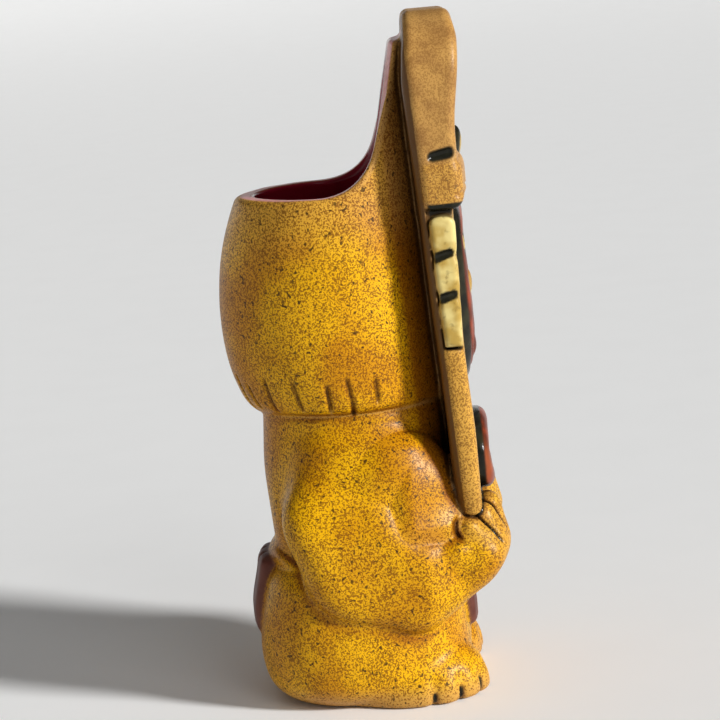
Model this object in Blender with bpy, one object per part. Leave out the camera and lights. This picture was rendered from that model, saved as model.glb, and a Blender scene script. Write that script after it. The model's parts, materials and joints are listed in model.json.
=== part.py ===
"""Ceramic tiki mug: a squat figure holding a tall carved mask, its head open as the cup.

The figure faces -Y and stands on Z = 0 with the origin at the centre of its footprint.
All design values are in millimetres; MM turns them into Blender's metres.
"""
import math

import bmesh
import bpy
from mathutils import Matrix, Vector

MM = 0.001
GAP = 0.3              # clearance between neighbouring pieces

# Driving dimensions
HEIGHT = 220.0         # floor to the top of the mask
REAR = 44.0            # furthest point of the head behind the origin
FRONT = 44.0           # furthest point of the hands in front of the origin
WALL = 5.5             # thickness of the cup's wall
LINER = 0.8            # thickness of the coloured glaze inside
BASE = 2.4             # thickness of the unglazed base
FLOOR = 6.0            # level of the cavity's floor
RIM = 165.0            # level of the drinking rim at the back and the sides
RIM_TOP = 211.0        # top of the wall behind the mask

HEAD_HALF = 35.5       # half width of the head at its widest level
HEAD_LOW = 94.0        # underside of the hair
HEAD_MID = 127.0       # widest level of the head
TORSO_HALF = 29.0      # half width of the chest
HIP_HALF = 27.0        # half width of the hollow core between the legs
WAIST = 47.0           # level of the belt
NECK_HALF = 22.5       # half width of the cavity below the head
FINGER = 3.8           # half depth of a finger

MASK_HALF = 37.0       # half width of the mask
MASK_LOW = 60.5        # chin edge of the mask
MASK_SHOULDER = 190.0  # where the mask's top begins to round over
MASK_JAW = 82.0        # where the mask's jaw begins to taper
MASK_BACK_TOP = -21.5  # back plane of the mask at its top
MASK_BACK_LOW = -25.6  # back plane of the mask at its chin
MASK_FRONT = -34.6     # front of the mask's raised border
FOREHEAD_FRONT = -37.0  # front of the thicker forehead
BROW_LOW = 158.5
BROW_TOP = 175.0
BROW_FRONT = -38.7
POCKET_BORDER = 5.5    # width of the raised border around the face
POCKET_FLOOR = -31.0   # depth of the recess that holds the face
MOUTH = 76.3           # level of the bite line

AROUND = 28            # segments around the hollow shells


def material(name, rgb, roughness):
    """A dielectric glaze or clay with one colour and one roughness."""
    mat = bpy.data.materials.new(name)
    mat.use_nodes = True
    shader = mat.node_tree.nodes["Principled BSDF"]
    shader.inputs["Base Color"].default_value = (*rgb, 1.0)
    shader.inputs["Roughness"].default_value = roughness
    shader.inputs["Metallic"].default_value = 0.0
    return mat


def clear_scene():
    for obj in list(bpy.data.objects):
        bpy.data.objects.remove(obj, do_unlink=True)


def finish(name, bm, mat):
    """Turn a bmesh in millimetres into a linked object in metres."""
    bmesh.ops.recalc_face_normals(bm, faces=bm.faces)
    bmesh.ops.scale(bm, vec=(MM, MM, MM), verts=bm.verts)
    mesh = bpy.data.meshes.new(name)
    bm.to_mesh(mesh)
    bm.free()
    mesh.materials.append(mat)
    obj = bpy.data.objects.new(name, mesh)
    bpy.context.scene.collection.objects.link(obj)
    return obj


def shade(obj, degrees=40.0):
    obj.data.shade_smooth()
    obj.data.set_sharp_from_angle(angle=math.radians(degrees))


def signed_power(value, power):
    return math.copysign(abs(value) ** power, value)


def level_ring(z, half_x, y_front, y_back, power=2.0, count=AROUND):
    """A horizontal superellipse between two Y limits."""
    middle = 0.5 * (y_front + y_back)
    half_y = 0.5 * (y_back - y_front)
    ring = []
    for i in range(count):
        angle = 2.0 * math.pi * i / count
        x = half_x * signed_power(math.cos(angle), 2.0 / power)
        y = middle + half_y * signed_power(math.sin(angle), 2.0 / power)
        ring.append(Vector((x, y, z)))
    return ring


def loft(name, rings, mat, closed_loop=False):
    """Skin a series of equal rings, capped at both ends or joined into a loop."""
    bm = bmesh.new()
    loops = [[bm.verts.new(point) for point in ring] for ring in rings]
    pairs = list(zip(loops, loops[1:]))
    if closed_loop:
        pairs.append((loops[-1], loops[0]))
    else:
        bm.faces.new(list(reversed(loops[0])))
        bm.faces.new(loops[-1])
    for lower, upper in pairs:
        count = len(lower)
        for i in range(count):
            j = (i + 1) % count
            bm.faces.new((lower[i], lower[j], upper[j], upper[i]))
    return finish(name, bm, mat)


def ellipsoid(name, centre, radii, mat, tilt=(0.0, 0.0, 0.0), around=14, levels=8):
    """A scaled ball, tilted by degrees about X, Y and Z."""
    bm = bmesh.new()
    turn = Matrix.LocRotScale(Vector(centre), None, None)
    for axis, degrees in zip("XYZ", tilt):
        turn = turn @ Matrix.Rotation(math.radians(degrees), 4, axis)
    turn = turn @ Matrix.Diagonal((*radii, 1.0))
    bmesh.ops.create_uvsphere(bm, u_segments=around, v_segments=levels, radius=1.0, matrix=turn)
    return finish(name, bm, mat)


def limb(name, stations, mat, around=12, steps=2):
    """A round-ended limb through (point, half_across, half_deep) stations in a Y-Z sweep."""
    samples = []
    last = len(stations) - 1
    for i in range(last):
        before = stations[max(i - 1, 0)]
        here = stations[i]
        after = stations[i + 1]
        beyond = stations[min(i + 2, last)]
        for k in range(steps):
            t = k / steps
            samples.append(blend_stations(before, here, after, beyond, t))
    samples.append(stations[last])
    rings = []
    for i, (point, across, deep) in enumerate(samples):
        ahead = Vector(samples[min(i + 1, len(samples) - 1)][0])
        behind = Vector(samples[max(i - 1, 0)][0])
        along = (ahead - behind).normalized()
        side = Vector((1.0, 0.0, 0.0))
        up = along.cross(side).normalized()
        side = up.cross(along)
        ends = [0.0]
        if i == 0:
            ends = [-0.95, -0.6, 0.0]
        if i == len(samples) - 1:
            ends = [0.0, 0.6, 0.95]
        for end in ends:
            shrink = math.sqrt(1.0 - end * end)
            centre = Vector(point) + along * (end * min(across, deep))
            rings.append(cross_section(centre, side * across * shrink, up * deep * shrink, around))
    return loft(name, rings, mat)


def blend_stations(before, here, after, beyond, t):
    """Catmull-Rom blend of four limb stations."""
    def blend(a, b, c, d):
        return 0.5 * (2 * b + (c - a) * t + (2 * a - 5 * b + 4 * c - d) * t * t
                      + (3 * b - a - 3 * c + d) * t ** 3)
    vectors = [Vector(station[0]) for station in (before, here, after, beyond)]
    point = blend(*vectors)
    across = blend(before[1], here[1], after[1], beyond[1])
    deep = blend(before[2], here[2], after[2], beyond[2])
    return (point, across, deep)


def cross_section(centre, side, up, count):
    ring = []
    for i in range(count):
        angle = 2.0 * math.pi * i / count
        ring.append(centre + side * math.cos(angle) + up * math.sin(angle))
    return ring


def loop_tube(name, path, half_wide, half_deep, mat, around=6):
    """A closed tube along a flat loop of points, with an elliptic section."""
    centre = sum(path, Vector()) / len(path)
    rings = []
    for i, point in enumerate(path):
        ahead = path[(i + 1) % len(path)]
        behind = path[i - 1]
        along = (ahead - behind).normalized()
        normal = along.cross(point - centre).normalized()
        out = normal.cross(along)
        rings.append(cross_section(point, out * half_wide, normal * half_deep, around))
    return loft(name, rings, mat, closed_loop=True)


def slab(name, outline, front, back, mat):
    """A plate from an X-Z outline, between two planes Y = front(z) and Y = back(z)."""
    rings = []
    for plane in (front, back):
        rings.append([Vector((x, plane(z), z)) for x, z in outline])
    return loft(name, rings, mat)


def side_prism(name, profile, half_width, mat):
    """A Y-Z profile extruded along X."""
    rings = []
    for x in (-half_width, half_width):
        rings.append([Vector((x, y, z)) for y, z in profile])
    return loft(name, rings, mat)


def block(name, centre, size, mat):
    bm = bmesh.new()
    shape = Matrix.LocRotScale(Vector(centre), None, Vector(size))
    bmesh.ops.create_cube(bm, size=1.0, matrix=shape)
    return finish(name, bm, mat)


def bake(obj):
    """Replace an object's mesh with its evaluated one and drop the modifiers."""
    graph = bpy.context.evaluated_depsgraph_get()
    mesh = bpy.data.meshes.new_from_object(obj.evaluated_get(graph))
    obj.modifiers.clear()
    old = obj.data
    obj.data = mesh
    bpy.data.meshes.remove(old)


def rounded(obj, width, segments=2, degrees=35.0):
    mod = obj.modifiers.new("Rounding", "BEVEL")
    mod.width = width * MM
    mod.segments = segments
    mod.limit_method = "ANGLE"
    mod.angle_limit = math.radians(degrees)
    bake(obj)
    return obj


def combine(target, other, operation):
    mod = target.modifiers.new(operation.title(), "BOOLEAN")
    mod.operation = operation
    mod.object = other
    bake(target)


def join(target, *others):
    """Union other bodies into the target."""
    for other in others:
        combine(target, other, "UNION")
        bpy.data.objects.remove(other, do_unlink=True)
    return target


def carve(target, *cutters):
    """Cut temporary bodies out of the target."""
    for cutter in cutters:
        combine(target, cutter, "DIFFERENCE")
        bpy.data.objects.remove(cutter, do_unlink=True)
    return target


def grown(obj, distance=GAP):
    """A copy of a piece with every face moved outwards by one distance."""
    bm = bmesh.new()
    bm.from_mesh(obj.data)
    bm.normal_update()
    moves = [vert.normal * min(vert.calc_shell_factor(), 2.0) for vert in bm.verts]
    for vert, move in zip(bm.verts, moves):
        vert.co += move * distance * MM
    mesh = bpy.data.meshes.new(obj.name + "_grown")
    bm.to_mesh(mesh)
    bm.free()
    copy = bpy.data.objects.new(mesh.name, mesh)
    bpy.context.scene.collection.objects.link(copy)
    return copy


def fit(target, *neighbours):
    """Trim a piece so that it clears its neighbours by the gap."""
    for neighbour in neighbours:
        carve(target, grown(neighbour))
    return target


def make_materials():
    return {
        "mustard": material("mustard_glaze", (0.51, 0.26, 0.02), 0.38),
        "burgundy": material("burgundy_glaze", (0.23, 0.012, 0.045), 0.3),
        "clay": material("bare_clay", (0.62, 0.5, 0.36), 0.85),
        "tan": material("tan_glaze", (0.42, 0.23, 0.06), 0.4),
        "dark": material("dark_glaze", (0.012, 0.015, 0.011), 0.22),
        "cream": material("cream_glaze", (0.66, 0.56, 0.3), 0.4),
        "terracotta": material("terracotta_glaze", (0.27, 0.055, 0.02), 0.35),
        "cloth": material("cloth_glaze", (0.19, 0.045, 0.03), 0.4),
    }


def head_back(z):
    """Rear profile of the head: full at the ears, tucked in at the neck and the rim."""
    if z < HEAD_MID:
        t = (HEAD_MID - z) / (HEAD_MID - HEAD_LOW)
        return REAR - 11.5 * t ** 3.4
    t = (z - HEAD_MID) / (RIM - HEAD_MID)
    return REAR - 8.8 * min(t, 1.0) ** 2


def head_half(z):
    if z < HEAD_MID:
        t = (HEAD_MID - z) / (HEAD_MID - HEAD_LOW)
        return HEAD_HALF - 5.5 * t ** 3.4
    t = (z - HEAD_MID) / (RIM - HEAD_MID)
    return HEAD_HALF - 2.5 * min(t, 1.0) ** 2


def mask_back(z):
    """Back plane of the mask, leaning back towards its top."""
    t = (z - MASK_LOW) / (HEIGHT - MASK_LOW)
    return MASK_BACK_LOW + (MASK_BACK_TOP - MASK_BACK_LOW) * t


def rim_profile():
    """Everything above the drinking rim, as a Y-Z outline that sweeps up behind the mask."""
    profile = [(60.0, RIM), (2.0, RIM)]
    profile += [(-2.6, 166.6), (-6.0, 170.2), (-9.0, 176.2), (-12.0, 184.0), (-14.6, 192.5)]
    profile += [(-17.2, 202.0), (-19.0, 208.5), (-20.5, RIM_TOP), (-40.0, RIM_TOP)]
    profile += [(-40.0, 240.0), (60.0, 240.0)]
    return profile


def cavity_ring(z, inset):
    """Section of the cavity at one level, moved inwards from its wall."""
    head_front = mask_back(z) - 2.0 + WALL
    open_half = head_half(z) - WALL
    open_back = head_back(z) - WALL
    blend = min(max((z - 88.0) / 20.0, 0.0), 1.0)
    blend = blend * blend * (3.0 - 2.0 * blend)
    half = NECK_HALF + (open_half - NECK_HALF) * blend
    front = -17.0 + (head_front + 17.0) * blend
    back = 27.5 + (open_back - 27.5) * blend
    if z < 14.0:
        tuck = 3.0 * ((14.0 - z) / (14.0 - FLOOR)) ** 2
        half -= tuck
        front += tuck
        back -= tuck
    return level_ring(z, half - inset, front + inset, back - inset)


CAVITY_LEVELS = (14.0, 88.0, HEAD_LOW, 99.0, 108.0, HEAD_MID, 147.0, RIM, 214.0)


def build_liner(mats):
    """The coloured glaze inside: one thin bag from the rim down to the cavity's floor."""
    levels = (FLOOR + 0.2,) + CAVITY_LEVELS
    outer = [cavity_ring(z, GAP) for z in levels]
    inner = [cavity_ring(max(z, FLOOR + LINER), GAP + LINER) for z in reversed(levels)]
    liner = loft("inner_glaze", outer + inner, mats["burgundy"])
    carve(liner, side_prism("rim_cutter", rim_profile(), 60.0, mats["burgundy"]))
    return liner


def build_head(mats):
    levels = (HEAD_LOW, 95.4, 99.0, 108.0, HEAD_MID, 147.0, RIM, 214.0)
    outer = []
    for z in levels:
        outer.append(level_ring(z, head_half(z), mask_back(z) - 2.0, head_back(z)))
    inner_levels = [z for z in CAVITY_LEVELS if z > HEAD_LOW]
    inner = [cavity_ring(z, 0.0) for z in reversed(inner_levels)]
    inner.append(cavity_ring(HEAD_LOW, 0.0))
    head = loft("head_bowl", outer + inner, mats["mustard"], closed_loop=True)
    carve(head, side_prism("rim_cutter", rim_profile(), 60.0, mats["mustard"]))
    return head


def chest_rings():
    rings = []
    for z, half, front, back in ((WAIST, 28.0, -24.0, 32.0), (58.0, TORSO_HALF, -27.5, 33.6),
                                 (74.0, TORSO_HALF, -28.0, 34.6), (HEAD_LOW - GAP, 28.5, -26.5, 32.4)):
        rings.append(level_ring(z, half, front, back, power=2.2))
    return rings


def hip_rings():
    rings = []
    for z, half, front, back in ((BASE + GAP, 24.0, -21.0, 31.0), (10.0, HIP_HALF, -24.0, 33.5),
                                 (30.0, HIP_HALF + 1.0, -25.0, 34.5), (WAIST - GAP, HIP_HALF, -23.5, 32.0)):
        rings.append(level_ring(z, half, front, back, power=2.2))
    return rings


def build_core(mats):
    """The trunk without its cavity, which the limbs are trimmed to."""
    foot = level_ring(-5.0, 25.0, -22.0, 32.0, power=2.2)
    low = level_ring(BASE, 25.0, -22.0, 32.0, power=2.2)
    return loft("core", [foot, low] + hip_rings() + chest_rings(), mats["mustard"])


def build_torso(mats):
    """Hollow chest between the belt and the hair."""
    inner = [cavity_ring(z, 0.0) for z in (HEAD_LOW - GAP, 88.0, WAIST)]
    return loft("torso_shell", chest_rings() + inner, mats["mustard"], closed_loop=True)


def build_hips(mats):
    """Hollow core of the lower body, with the cavity's floor."""
    inner = [cavity_ring(z, 0.0) for z in (WAIST - GAP, 14.0, FLOOR - GAP)]
    return loft("hip_shell", hip_rings() + inner, mats["mustard"])


def build_base_disc(mats):
    """The bare clay disc that the mug stands on."""
    rings = [level_ring(z, 25.0, -22.0, 32.0, power=2.2) for z in (0.0, BASE)]
    return loft("base_disc", rings, mats["clay"])


def build_belt(mats):
    """The rolled belt around the waist."""
    path = level_ring(WAIST, 28.6, -25.6, 32.4, power=2.2, count=24)
    return loop_tube("waist_band", path, 2.9, 3.4, mats["mustard"])


def build_loincloths(mats):
    back_profile = [(33.0, 44.0), (38.2, 44.5), (40.6, 38.0), (41.4, 31.0), (42.2, 25.0)]
    back_profile += [(42.3, 21.0), (40.6, 18.4), (34.0, 18.4)]
    back = rounded(side_prism("loincloth_back", back_profile, 13.5, mats["cloth"]), 1.6)
    front_profile = [(-22.0, 43.5), (-28.6, 43.5), (-31.0, 35.0), (-31.9, 26.0)]
    front_profile += [(-31.6, 20.0), (-29.6, 16.6), (-23.0, 16.6)]
    front = rounded(side_prism("loincloth_front", front_profile, 11.5, mats["cloth"]), 1.6)
    return back, front


def build_leg(side, name, mats):
    """The folded leg: one heavy rounded mass from the buttock to the shin."""
    leg = ellipsoid(name, (side * 19.0, 6.0, 21.0), (20.0, 35.0, 26.0), mats["mustard"],
                    around=20, levels=14)
    carve(leg, block("floor_cutter", (0.0, 0.0, -9.7), (120.0, 120.0, 20.0), mats["mustard"]))
    carve(leg, block("middle_cutter", (-side * 19.8, 0.0, 20.0), (40.0, 120.0, 80.0), mats["mustard"]))
    return leg


def build_foot(side, name, mats):
    """The foot with five rounded toes fanned around its front."""
    foot = ellipsoid(name, (side * 20.0, -11.0, 3.0), (17.5, 19.5, 15.0), mats["mustard"],
                     around=18, levels=10)
    toes = 5
    for i in range(toes):
        turn = math.radians(-14.0 + 24.0 * i)
        reach = 18.5 - 1.1 * i
        x = side * (17.0 + reach * math.sin(turn) * 0.98)
        y = -9.5 - reach * math.cos(turn)
        size = 5.4 - 0.45 * i
        toe = ellipsoid("toe", (x, y, size - 0.4), (size * 0.92, size * 1.1, size), mats["mustard"],
                        tilt=(0.0, 0.0, side * math.degrees(turn)), around=8, levels=6)
        join(foot, toe)
    carve(foot, block("floor_cutter", (0.0, 0.0, -10.0), (120.0, 120.0, 20.0), mats["mustard"]))
    return foot


def build_arm(side, name, mats):
    """Upper arm, elbow and forearm in one bent sweep, flattened against the body."""
    stations = [((side * 29.0, 8.0, 79.0), 11.5, 13.5), ((side * 30.5, 6.5, 62.0), 11.5, 16.5),
                ((side * 31.0, -1.0, 46.0), 11.5, 17.5), ((side * 30.0, -13.5, 40.0), 11.0, 14.5),
                ((side * 28.0, -25.5, 46.0), 9.5, 10.0)]
    return limb(name, stations, mats["mustard"], around=14)


def build_hand(side, name, mats):
    """The hand gripping the mask's lower corner, with four fingers over its front."""
    hand = ellipsoid(name, (side * 25.0, -34.8, 48.5), (11.0, 7.6, 9.0), mats["mustard"])
    for i in range(4):
        x = side * (17.4 + 5.0 * i)
        step_back = 1.0 * i ** 2
        top = 62.5 - 0.45 * i ** 2
        knuckle = FINGER - FRONT + 0.1 + step_back
        stations = [((x, knuckle + 1.5, 47.0), 3.1, FINGER), ((x, knuckle, 54.0), 3.1, FINGER),
                    ((x, knuckle + 1.1, top), 2.9, 3.4)]
        join(hand, limb("finger", stations, mats["mustard"], around=8, steps=1))
    return hand


def mask_outline(inset, low=MASK_LOW, points=5):
    """The mask's outline from the front: round crown, straight temples, tapered jaw."""
    half = MASK_HALF - inset
    crown = HEIGHT - inset - MASK_SHOULDER
    jaw = MASK_JAW - (low + inset)
    right = []
    for i in range(points):
        angle = 0.5 * math.pi * (i + 0.5) / points
        x = half * math.cos(angle) ** (2.0 / 2.8)
        right.append((x, MASK_SHOULDER + crown * math.sin(angle) ** (2.0 / 2.8)))
    right.reverse()
    for i in range(points):
        angle = 0.5 * math.pi * (i + 0.5) / points
        x = (half - 1.5) * math.cos(angle) ** (2.0 / 2.4)
        right.append((x, MASK_JAW - jaw * math.sin(angle) ** (2.0 / 2.4)))
    left = [(-x, z) for x, z in reversed(right)]
    return right + left


def cropped(outline, low, high):
    """The part of a symmetric outline between two levels."""
    right = [(x, z) for x, z in outline if x > 0.0 and low < z < high]
    points = [(x, z) for x, z in outline if x > 0.0]
    top_half = half_width_at(points, high)
    low_half = half_width_at(points, low)
    right = [(top_half, high)] + right + [(low_half, low)]
    return right + [(-x, z) for x, z in reversed(right)]


def half_width_at(points, level):
    for (x0, z0), (x1, z1) in zip(points, points[1:]):
        if z1 <= level <= z0:
            return x0 + (x1 - x0) * (z0 - level) / (z0 - z1)
    return points[0][0] if level > points[0][1] else points[-1][0]


def plane_at(value):
    return lambda z: value


def build_mask(mats):
    """The tall mask plate: a thick forehead above a thinner face with a sunken field."""
    plate = slab("mask_plate", mask_outline(0.0), plane_at(FOREHEAD_FRONT), mask_back, mats["tan"])
    rounded(plate, 2.6)
    step = (0.0, MASK_FRONT - 20.0, BROW_TOP - 70.0)
    carve(plate, block("step_cutter", step, (120.0, 40.0, 140.0), mats["tan"]))
    field = cropped(mask_outline(POCKET_BORDER), MASK_LOW + POCKET_BORDER, BROW_LOW - 1.0)
    carve(plate, slab("field_cutter", field, plane_at(-60.0), plane_at(POCKET_FLOOR), mats["tan"]))
    return plate


def build_ground(mats):
    """The dark glazed field at the bottom of the recess."""
    outline = cropped(mask_outline(POCKET_BORDER + GAP), MASK_LOW + POCKET_BORDER + 0.6, BROW_LOW - 1.3)
    return slab("mask_ground", outline, plane_at(POCKET_FLOOR - 1.7), plane_at(POCKET_FLOOR - GAP),
                mats["dark"])


def build_brow(mats):
    """The heavy brow across the mask, wrapping its sides."""
    low = BROW_LOW
    top = BROW_TOP
    half = MASK_HALF + 0.6
    outline = [(half, low + 2.0), (half, top - 1.0), (24.0, top), (8.0, top - 2.0), (0.0, top - 3.4)]
    outline += [(-x, z) for x, z in reversed(outline[:-1])]
    outline += [(-24.0, low), (-8.0, low - 0.6), (8.0, low - 0.6), (24.0, low)]
    bar = slab("brow_bar", outline, plane_at(BROW_FRONT), plane_at(-28.6), mats["mustard"])
    return rounded(bar, 1.8)


def build_forehead_panel(mats):
    outline = cropped(mask_outline(9.0), 180.0, HEIGHT - 9.5)
    panel = slab("forehead_panel", outline, plane_at(-38.9), plane_at(FOREHEAD_FRONT - GAP), mats["cream"])
    return rounded(panel, 0.6, segments=1)


def build_beads(mats):
    """Three ivory beads set into each side edge of the mask."""
    beads = []
    for side, label in ((-1, "right"), (1, "left")):
        for i, z in enumerate((151.5, 138.5, 124.0)):
            tall = (12.0, 12.0, 15.0)[i]
            place = ("upper", "middle", "lower")[i]
            bead = block(f"{label}_{place}_bead", (side * 36.0, -29.8, z), (6.4, 8.4, tall - 0.8),
                         mats["cream"])
            beads.append(rounded(bead, 1.9))
    return beads


def build_face(mats):
    """Eyes, nose, cheeks, lips and teeth raised from the dark field."""
    nose_rings = []
    for z, half, tip in ((152.0, 3.8, -36.8), (138.0, 5.2, -38.4), (128.0, 6.6, -39.3),
                         (118.0, 9.6, -39.4), (110.0, 11.6, -38.0), (106.0, 9.0, -35.6)):
        nose_rings.append(level_ring(z, half, tip, -32.2, power=2.3, count=14))
    nose = loft("nose", nose_rings, mats["terracotta"])
    mouth = []
    turns = 22
    for i in range(turns):
        angle = 2.0 * math.pi * i / turns
        x = 18.6 * signed_power(math.cos(angle), 0.9)
        z = MOUTH + 8.2 * signed_power(math.sin(angle), 0.8)
        mouth.append(Vector((x, -36.0, z)))
    lips = loop_tube("lips", mouth, 4.3, 5.0, mats["terracotta"])
    teeth = rounded(block("teeth", (0.0, -35.2, MOUTH), (34.0, 4.4, 14.0), mats["cream"]), 0.8)
    carve(teeth, block("bite_line", (0.0, -37.2, MOUTH), (40.0, 3.0, 1.2), mats["dark"]))
    for i in range(5):
        carve(teeth, block("tooth_gap", (5.2 * (i - 2), -37.2, MOUTH), (0.8, 2.2, 20.0), mats["dark"]))
    pieces = [nose, lips, teeth]
    for side, label in ((-1, "right"), (1, "left")):
        eye = ellipsoid(f"{label}_eye", (side * 16.5, -34.4, 146.5), (9.6, 3.6, 5.8), mats["cream"],
                        tilt=(0.0, side * 8.0, 0.0))
        cheek = ellipsoid(f"{label}_cheek", (side * 19.0, -33.4, 120.0), (9.8, 5.2, 17.0),
                          mats["terracotta"], tilt=(0.0, side * 7.0, 0.0))
        pieces += [eye, cheek]
    return pieces


def build_boss(mats):
    return ellipsoid("forehead_boss", (0.0, -36.4, 179.5), (4.8, 3.0, 6.4), mats["cream"])


def main():
    clear_scene()
    mats = make_materials()

    plate = build_mask(mats)
    ground = build_ground(mats)
    brow = build_brow(mats)
    beads = build_beads(mats)
    panel = build_forehead_panel(mats)
    boss = build_boss(mats)
    nose, lips, teeth, *soft_face = build_face(mats)
    fit(plate, brow, *beads, boss)
    fit(panel, boss, brow)
    fit(boss, brow)
    fit(nose, ground, brow)
    fit(lips, ground, nose, plate)
    fit(teeth, ground, lips)
    for piece in soft_face:
        fit(piece, ground, nose, lips, brow, plate)
    for bead in beads:
        fit(bead, brow)

    build_liner(mats)
    head = fit(build_head(mats), plate)
    torso = fit(build_torso(mats), plate)
    hips = build_hips(mats)
    core = build_core(mats)
    build_base_disc(mats)
    belt = build_belt(mats)
    fit(torso, belt)
    fit(hips, belt)
    cloths = build_loincloths(mats)
    for cloth in cloths:
        fit(cloth, hips, belt)

    for side, label in ((-1, "right"), (1, "left")):
        leg = fit(build_leg(side, f"{label}_leg", mats), core, belt, *cloths)
        fit(build_foot(side, f"{label}_foot", mats), core, leg, cloths[1])
        arm = fit(build_arm(side, f"{label}_arm", mats), core, belt, leg, head, plate, cloths[1])
        fit(build_hand(side, f"{label}_hand", mats), core, arm, plate, ground, lips, teeth, belt, leg)
    bpy.data.objects.remove(core, do_unlink=True)

    for obj in bpy.data.objects:
        shade(obj)


main()
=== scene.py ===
"""Looks of the ceramic tiki mug.

The whole casting is sculpted as one distance field, in millimetres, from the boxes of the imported
nodes. It is then skinned once, and every skin face goes to the piece that it belongs to, so the
pieces share their seams exactly. Each piece keeps its node's name and rides on the body "root".
"""

import json
import math

import bpy
import numpy as np
from mathutils import Matrix, Vector


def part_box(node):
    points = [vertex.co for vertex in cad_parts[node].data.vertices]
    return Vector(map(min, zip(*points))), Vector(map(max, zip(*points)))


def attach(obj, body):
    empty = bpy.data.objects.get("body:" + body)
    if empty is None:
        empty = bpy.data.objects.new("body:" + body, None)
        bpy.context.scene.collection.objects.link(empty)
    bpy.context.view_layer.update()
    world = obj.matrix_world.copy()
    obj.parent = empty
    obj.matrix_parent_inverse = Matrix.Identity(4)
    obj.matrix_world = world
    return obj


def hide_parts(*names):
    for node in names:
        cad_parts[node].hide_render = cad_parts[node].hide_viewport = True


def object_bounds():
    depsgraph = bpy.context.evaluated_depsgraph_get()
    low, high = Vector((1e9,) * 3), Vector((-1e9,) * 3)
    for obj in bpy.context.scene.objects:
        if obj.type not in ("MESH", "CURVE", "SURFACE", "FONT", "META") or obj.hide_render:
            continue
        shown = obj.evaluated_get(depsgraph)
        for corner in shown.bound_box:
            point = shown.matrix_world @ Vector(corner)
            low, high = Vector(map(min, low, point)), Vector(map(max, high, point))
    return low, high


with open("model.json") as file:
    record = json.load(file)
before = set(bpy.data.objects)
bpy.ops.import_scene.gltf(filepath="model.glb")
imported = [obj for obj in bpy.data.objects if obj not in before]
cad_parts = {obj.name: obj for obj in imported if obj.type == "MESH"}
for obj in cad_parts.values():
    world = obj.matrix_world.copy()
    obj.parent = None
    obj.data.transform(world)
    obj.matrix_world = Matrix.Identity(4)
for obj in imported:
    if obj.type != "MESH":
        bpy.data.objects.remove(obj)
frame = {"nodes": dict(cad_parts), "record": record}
CAD_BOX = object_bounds()

MM = 1000.0                                  # millimetres in a metre
FAR = 40.0                                   # "nowhere near" for a shape that isn't evaluated
PITCH = 0.62          # spacing of the sculpting grid
COARSE = 4                                   # fine steps in one step of the search grid
CHUNK = 300_000                              # points evaluated at a time
WALL = 6.6                                   # thickness of the drinking bowl's wall
LINING = 1.5                                 # thickness of the inner glaze's own piece
EYE_TILT = 9.0                               # degrees that the eyes are turned in the mask's plane
MOUTH = 84.0                                 # level of the mouth, above which the mask leans back
BOSS_RADII = (5.8, 2.7, 6.4)                 # half sizes of the boss on the brow
MARGIN = 1.2                                 # search steps left free around the object
SLACK = 1.35                                 # allowance for distances that come out too long


# ---------------------------------------------------------------------------
# Places, all from the frame
# ---------------------------------------------------------------------------

def box(node):
    """Lowest and highest corner of a node, in millimetres."""
    low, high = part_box(node)
    return np.array(low) * MM, np.array(high) * MM


def opening(name):
    """The record's box of a named opening, in millimetres."""
    for item in frame["record"]["physics"]["openings"]:
        if item["name"] == name:
            return np.array(item["box_m"]) * MM
    raise KeyError(name)


HEAD_LOW, HEAD_HIGH = box("head_bowl")
MASK_LOW, MASK_HIGH = box("mask_plate")
BROW_LOW, BROW_HIGH = box("brow_bar")
FIELD_LOW, FIELD_HIGH = box("mask_ground")
LINER_LOW, LINER_HIGH = box("inner_glaze")
BELT_LOW, BELT_HIGH = box("waist_band")
TORSO_LOW, TORSO_HIGH = box("torso_shell")
RIM = opening("cup_bowl")[1][2]              # level of the drinking rim
NECK = opening("cup_bowl")[0][2]             # where the bowl narrows to the neck
HEAD_MID = 0.53 * HEAD_LOW[2] + 0.47 * RIM   # widest level of the head

NAMES = ["outside"] + sorted(frame["nodes"])
NUMBER = {name: i for i, name in enumerate(NAMES)}
PAIRED = sorted({name[5:] for name in NAMES if name.startswith("left_")})


# ---------------------------------------------------------------------------
# Distance tools
# ---------------------------------------------------------------------------

def smin(a, b, k):
    """Union with a fillet about k wide."""
    h = np.clip(0.5 + 0.5 * (b - a) / k, 0.0, 1.0)
    return b + (a - b) * h - k * h * (1.0 - h)


def smax(a, b, k):
    """Intersection with a rounded edge about k wide."""
    return -smin(-a, -b, k)


def ramp(low, high, value):
    """Smooth step from 0 at low to 1 at high."""
    t = np.clip((value - low) / (high - low), 0.0, 1.0)
    return t * t * (3.0 - 2.0 * t)


def mix(a, b, t):
    """Straight blend from a at t = 0 to b at t = 1."""
    return a + (b - a) * t


def oval(x, y, half, front, back):
    """Distance to an ellipse in plan between two Y limits."""
    middle = 0.5 * (front + back)
    deep = 0.5 * (back - front)
    reach = np.sqrt((x / half) ** 2 + ((y - middle) / deep) ** 2)
    slope = np.sqrt((x / half ** 2) ** 2 + ((y - middle) / deep ** 2) ** 2)
    return reach * (reach - 1.0) / np.maximum(slope, 1e-4)


def squarish_oval(x, y, half, front, back, power):
    """The same with squarer corners, from the ratio of two norms."""
    middle = 0.5 * (front + back)
    deep = 0.5 * (back - front)
    u = np.abs(x / half)
    v = np.abs((y - middle) / deep)
    reach = (u ** power + v ** power) ** (1.0 / power)
    return (reach - 1.0) * mix(half, deep, v / np.maximum(u + v, 1e-4))


def folded(p):
    """The points with the right-hand side laid over the left."""
    q = p.copy()
    q[:, 0] = np.abs(p[:, 0])
    return q


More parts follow.
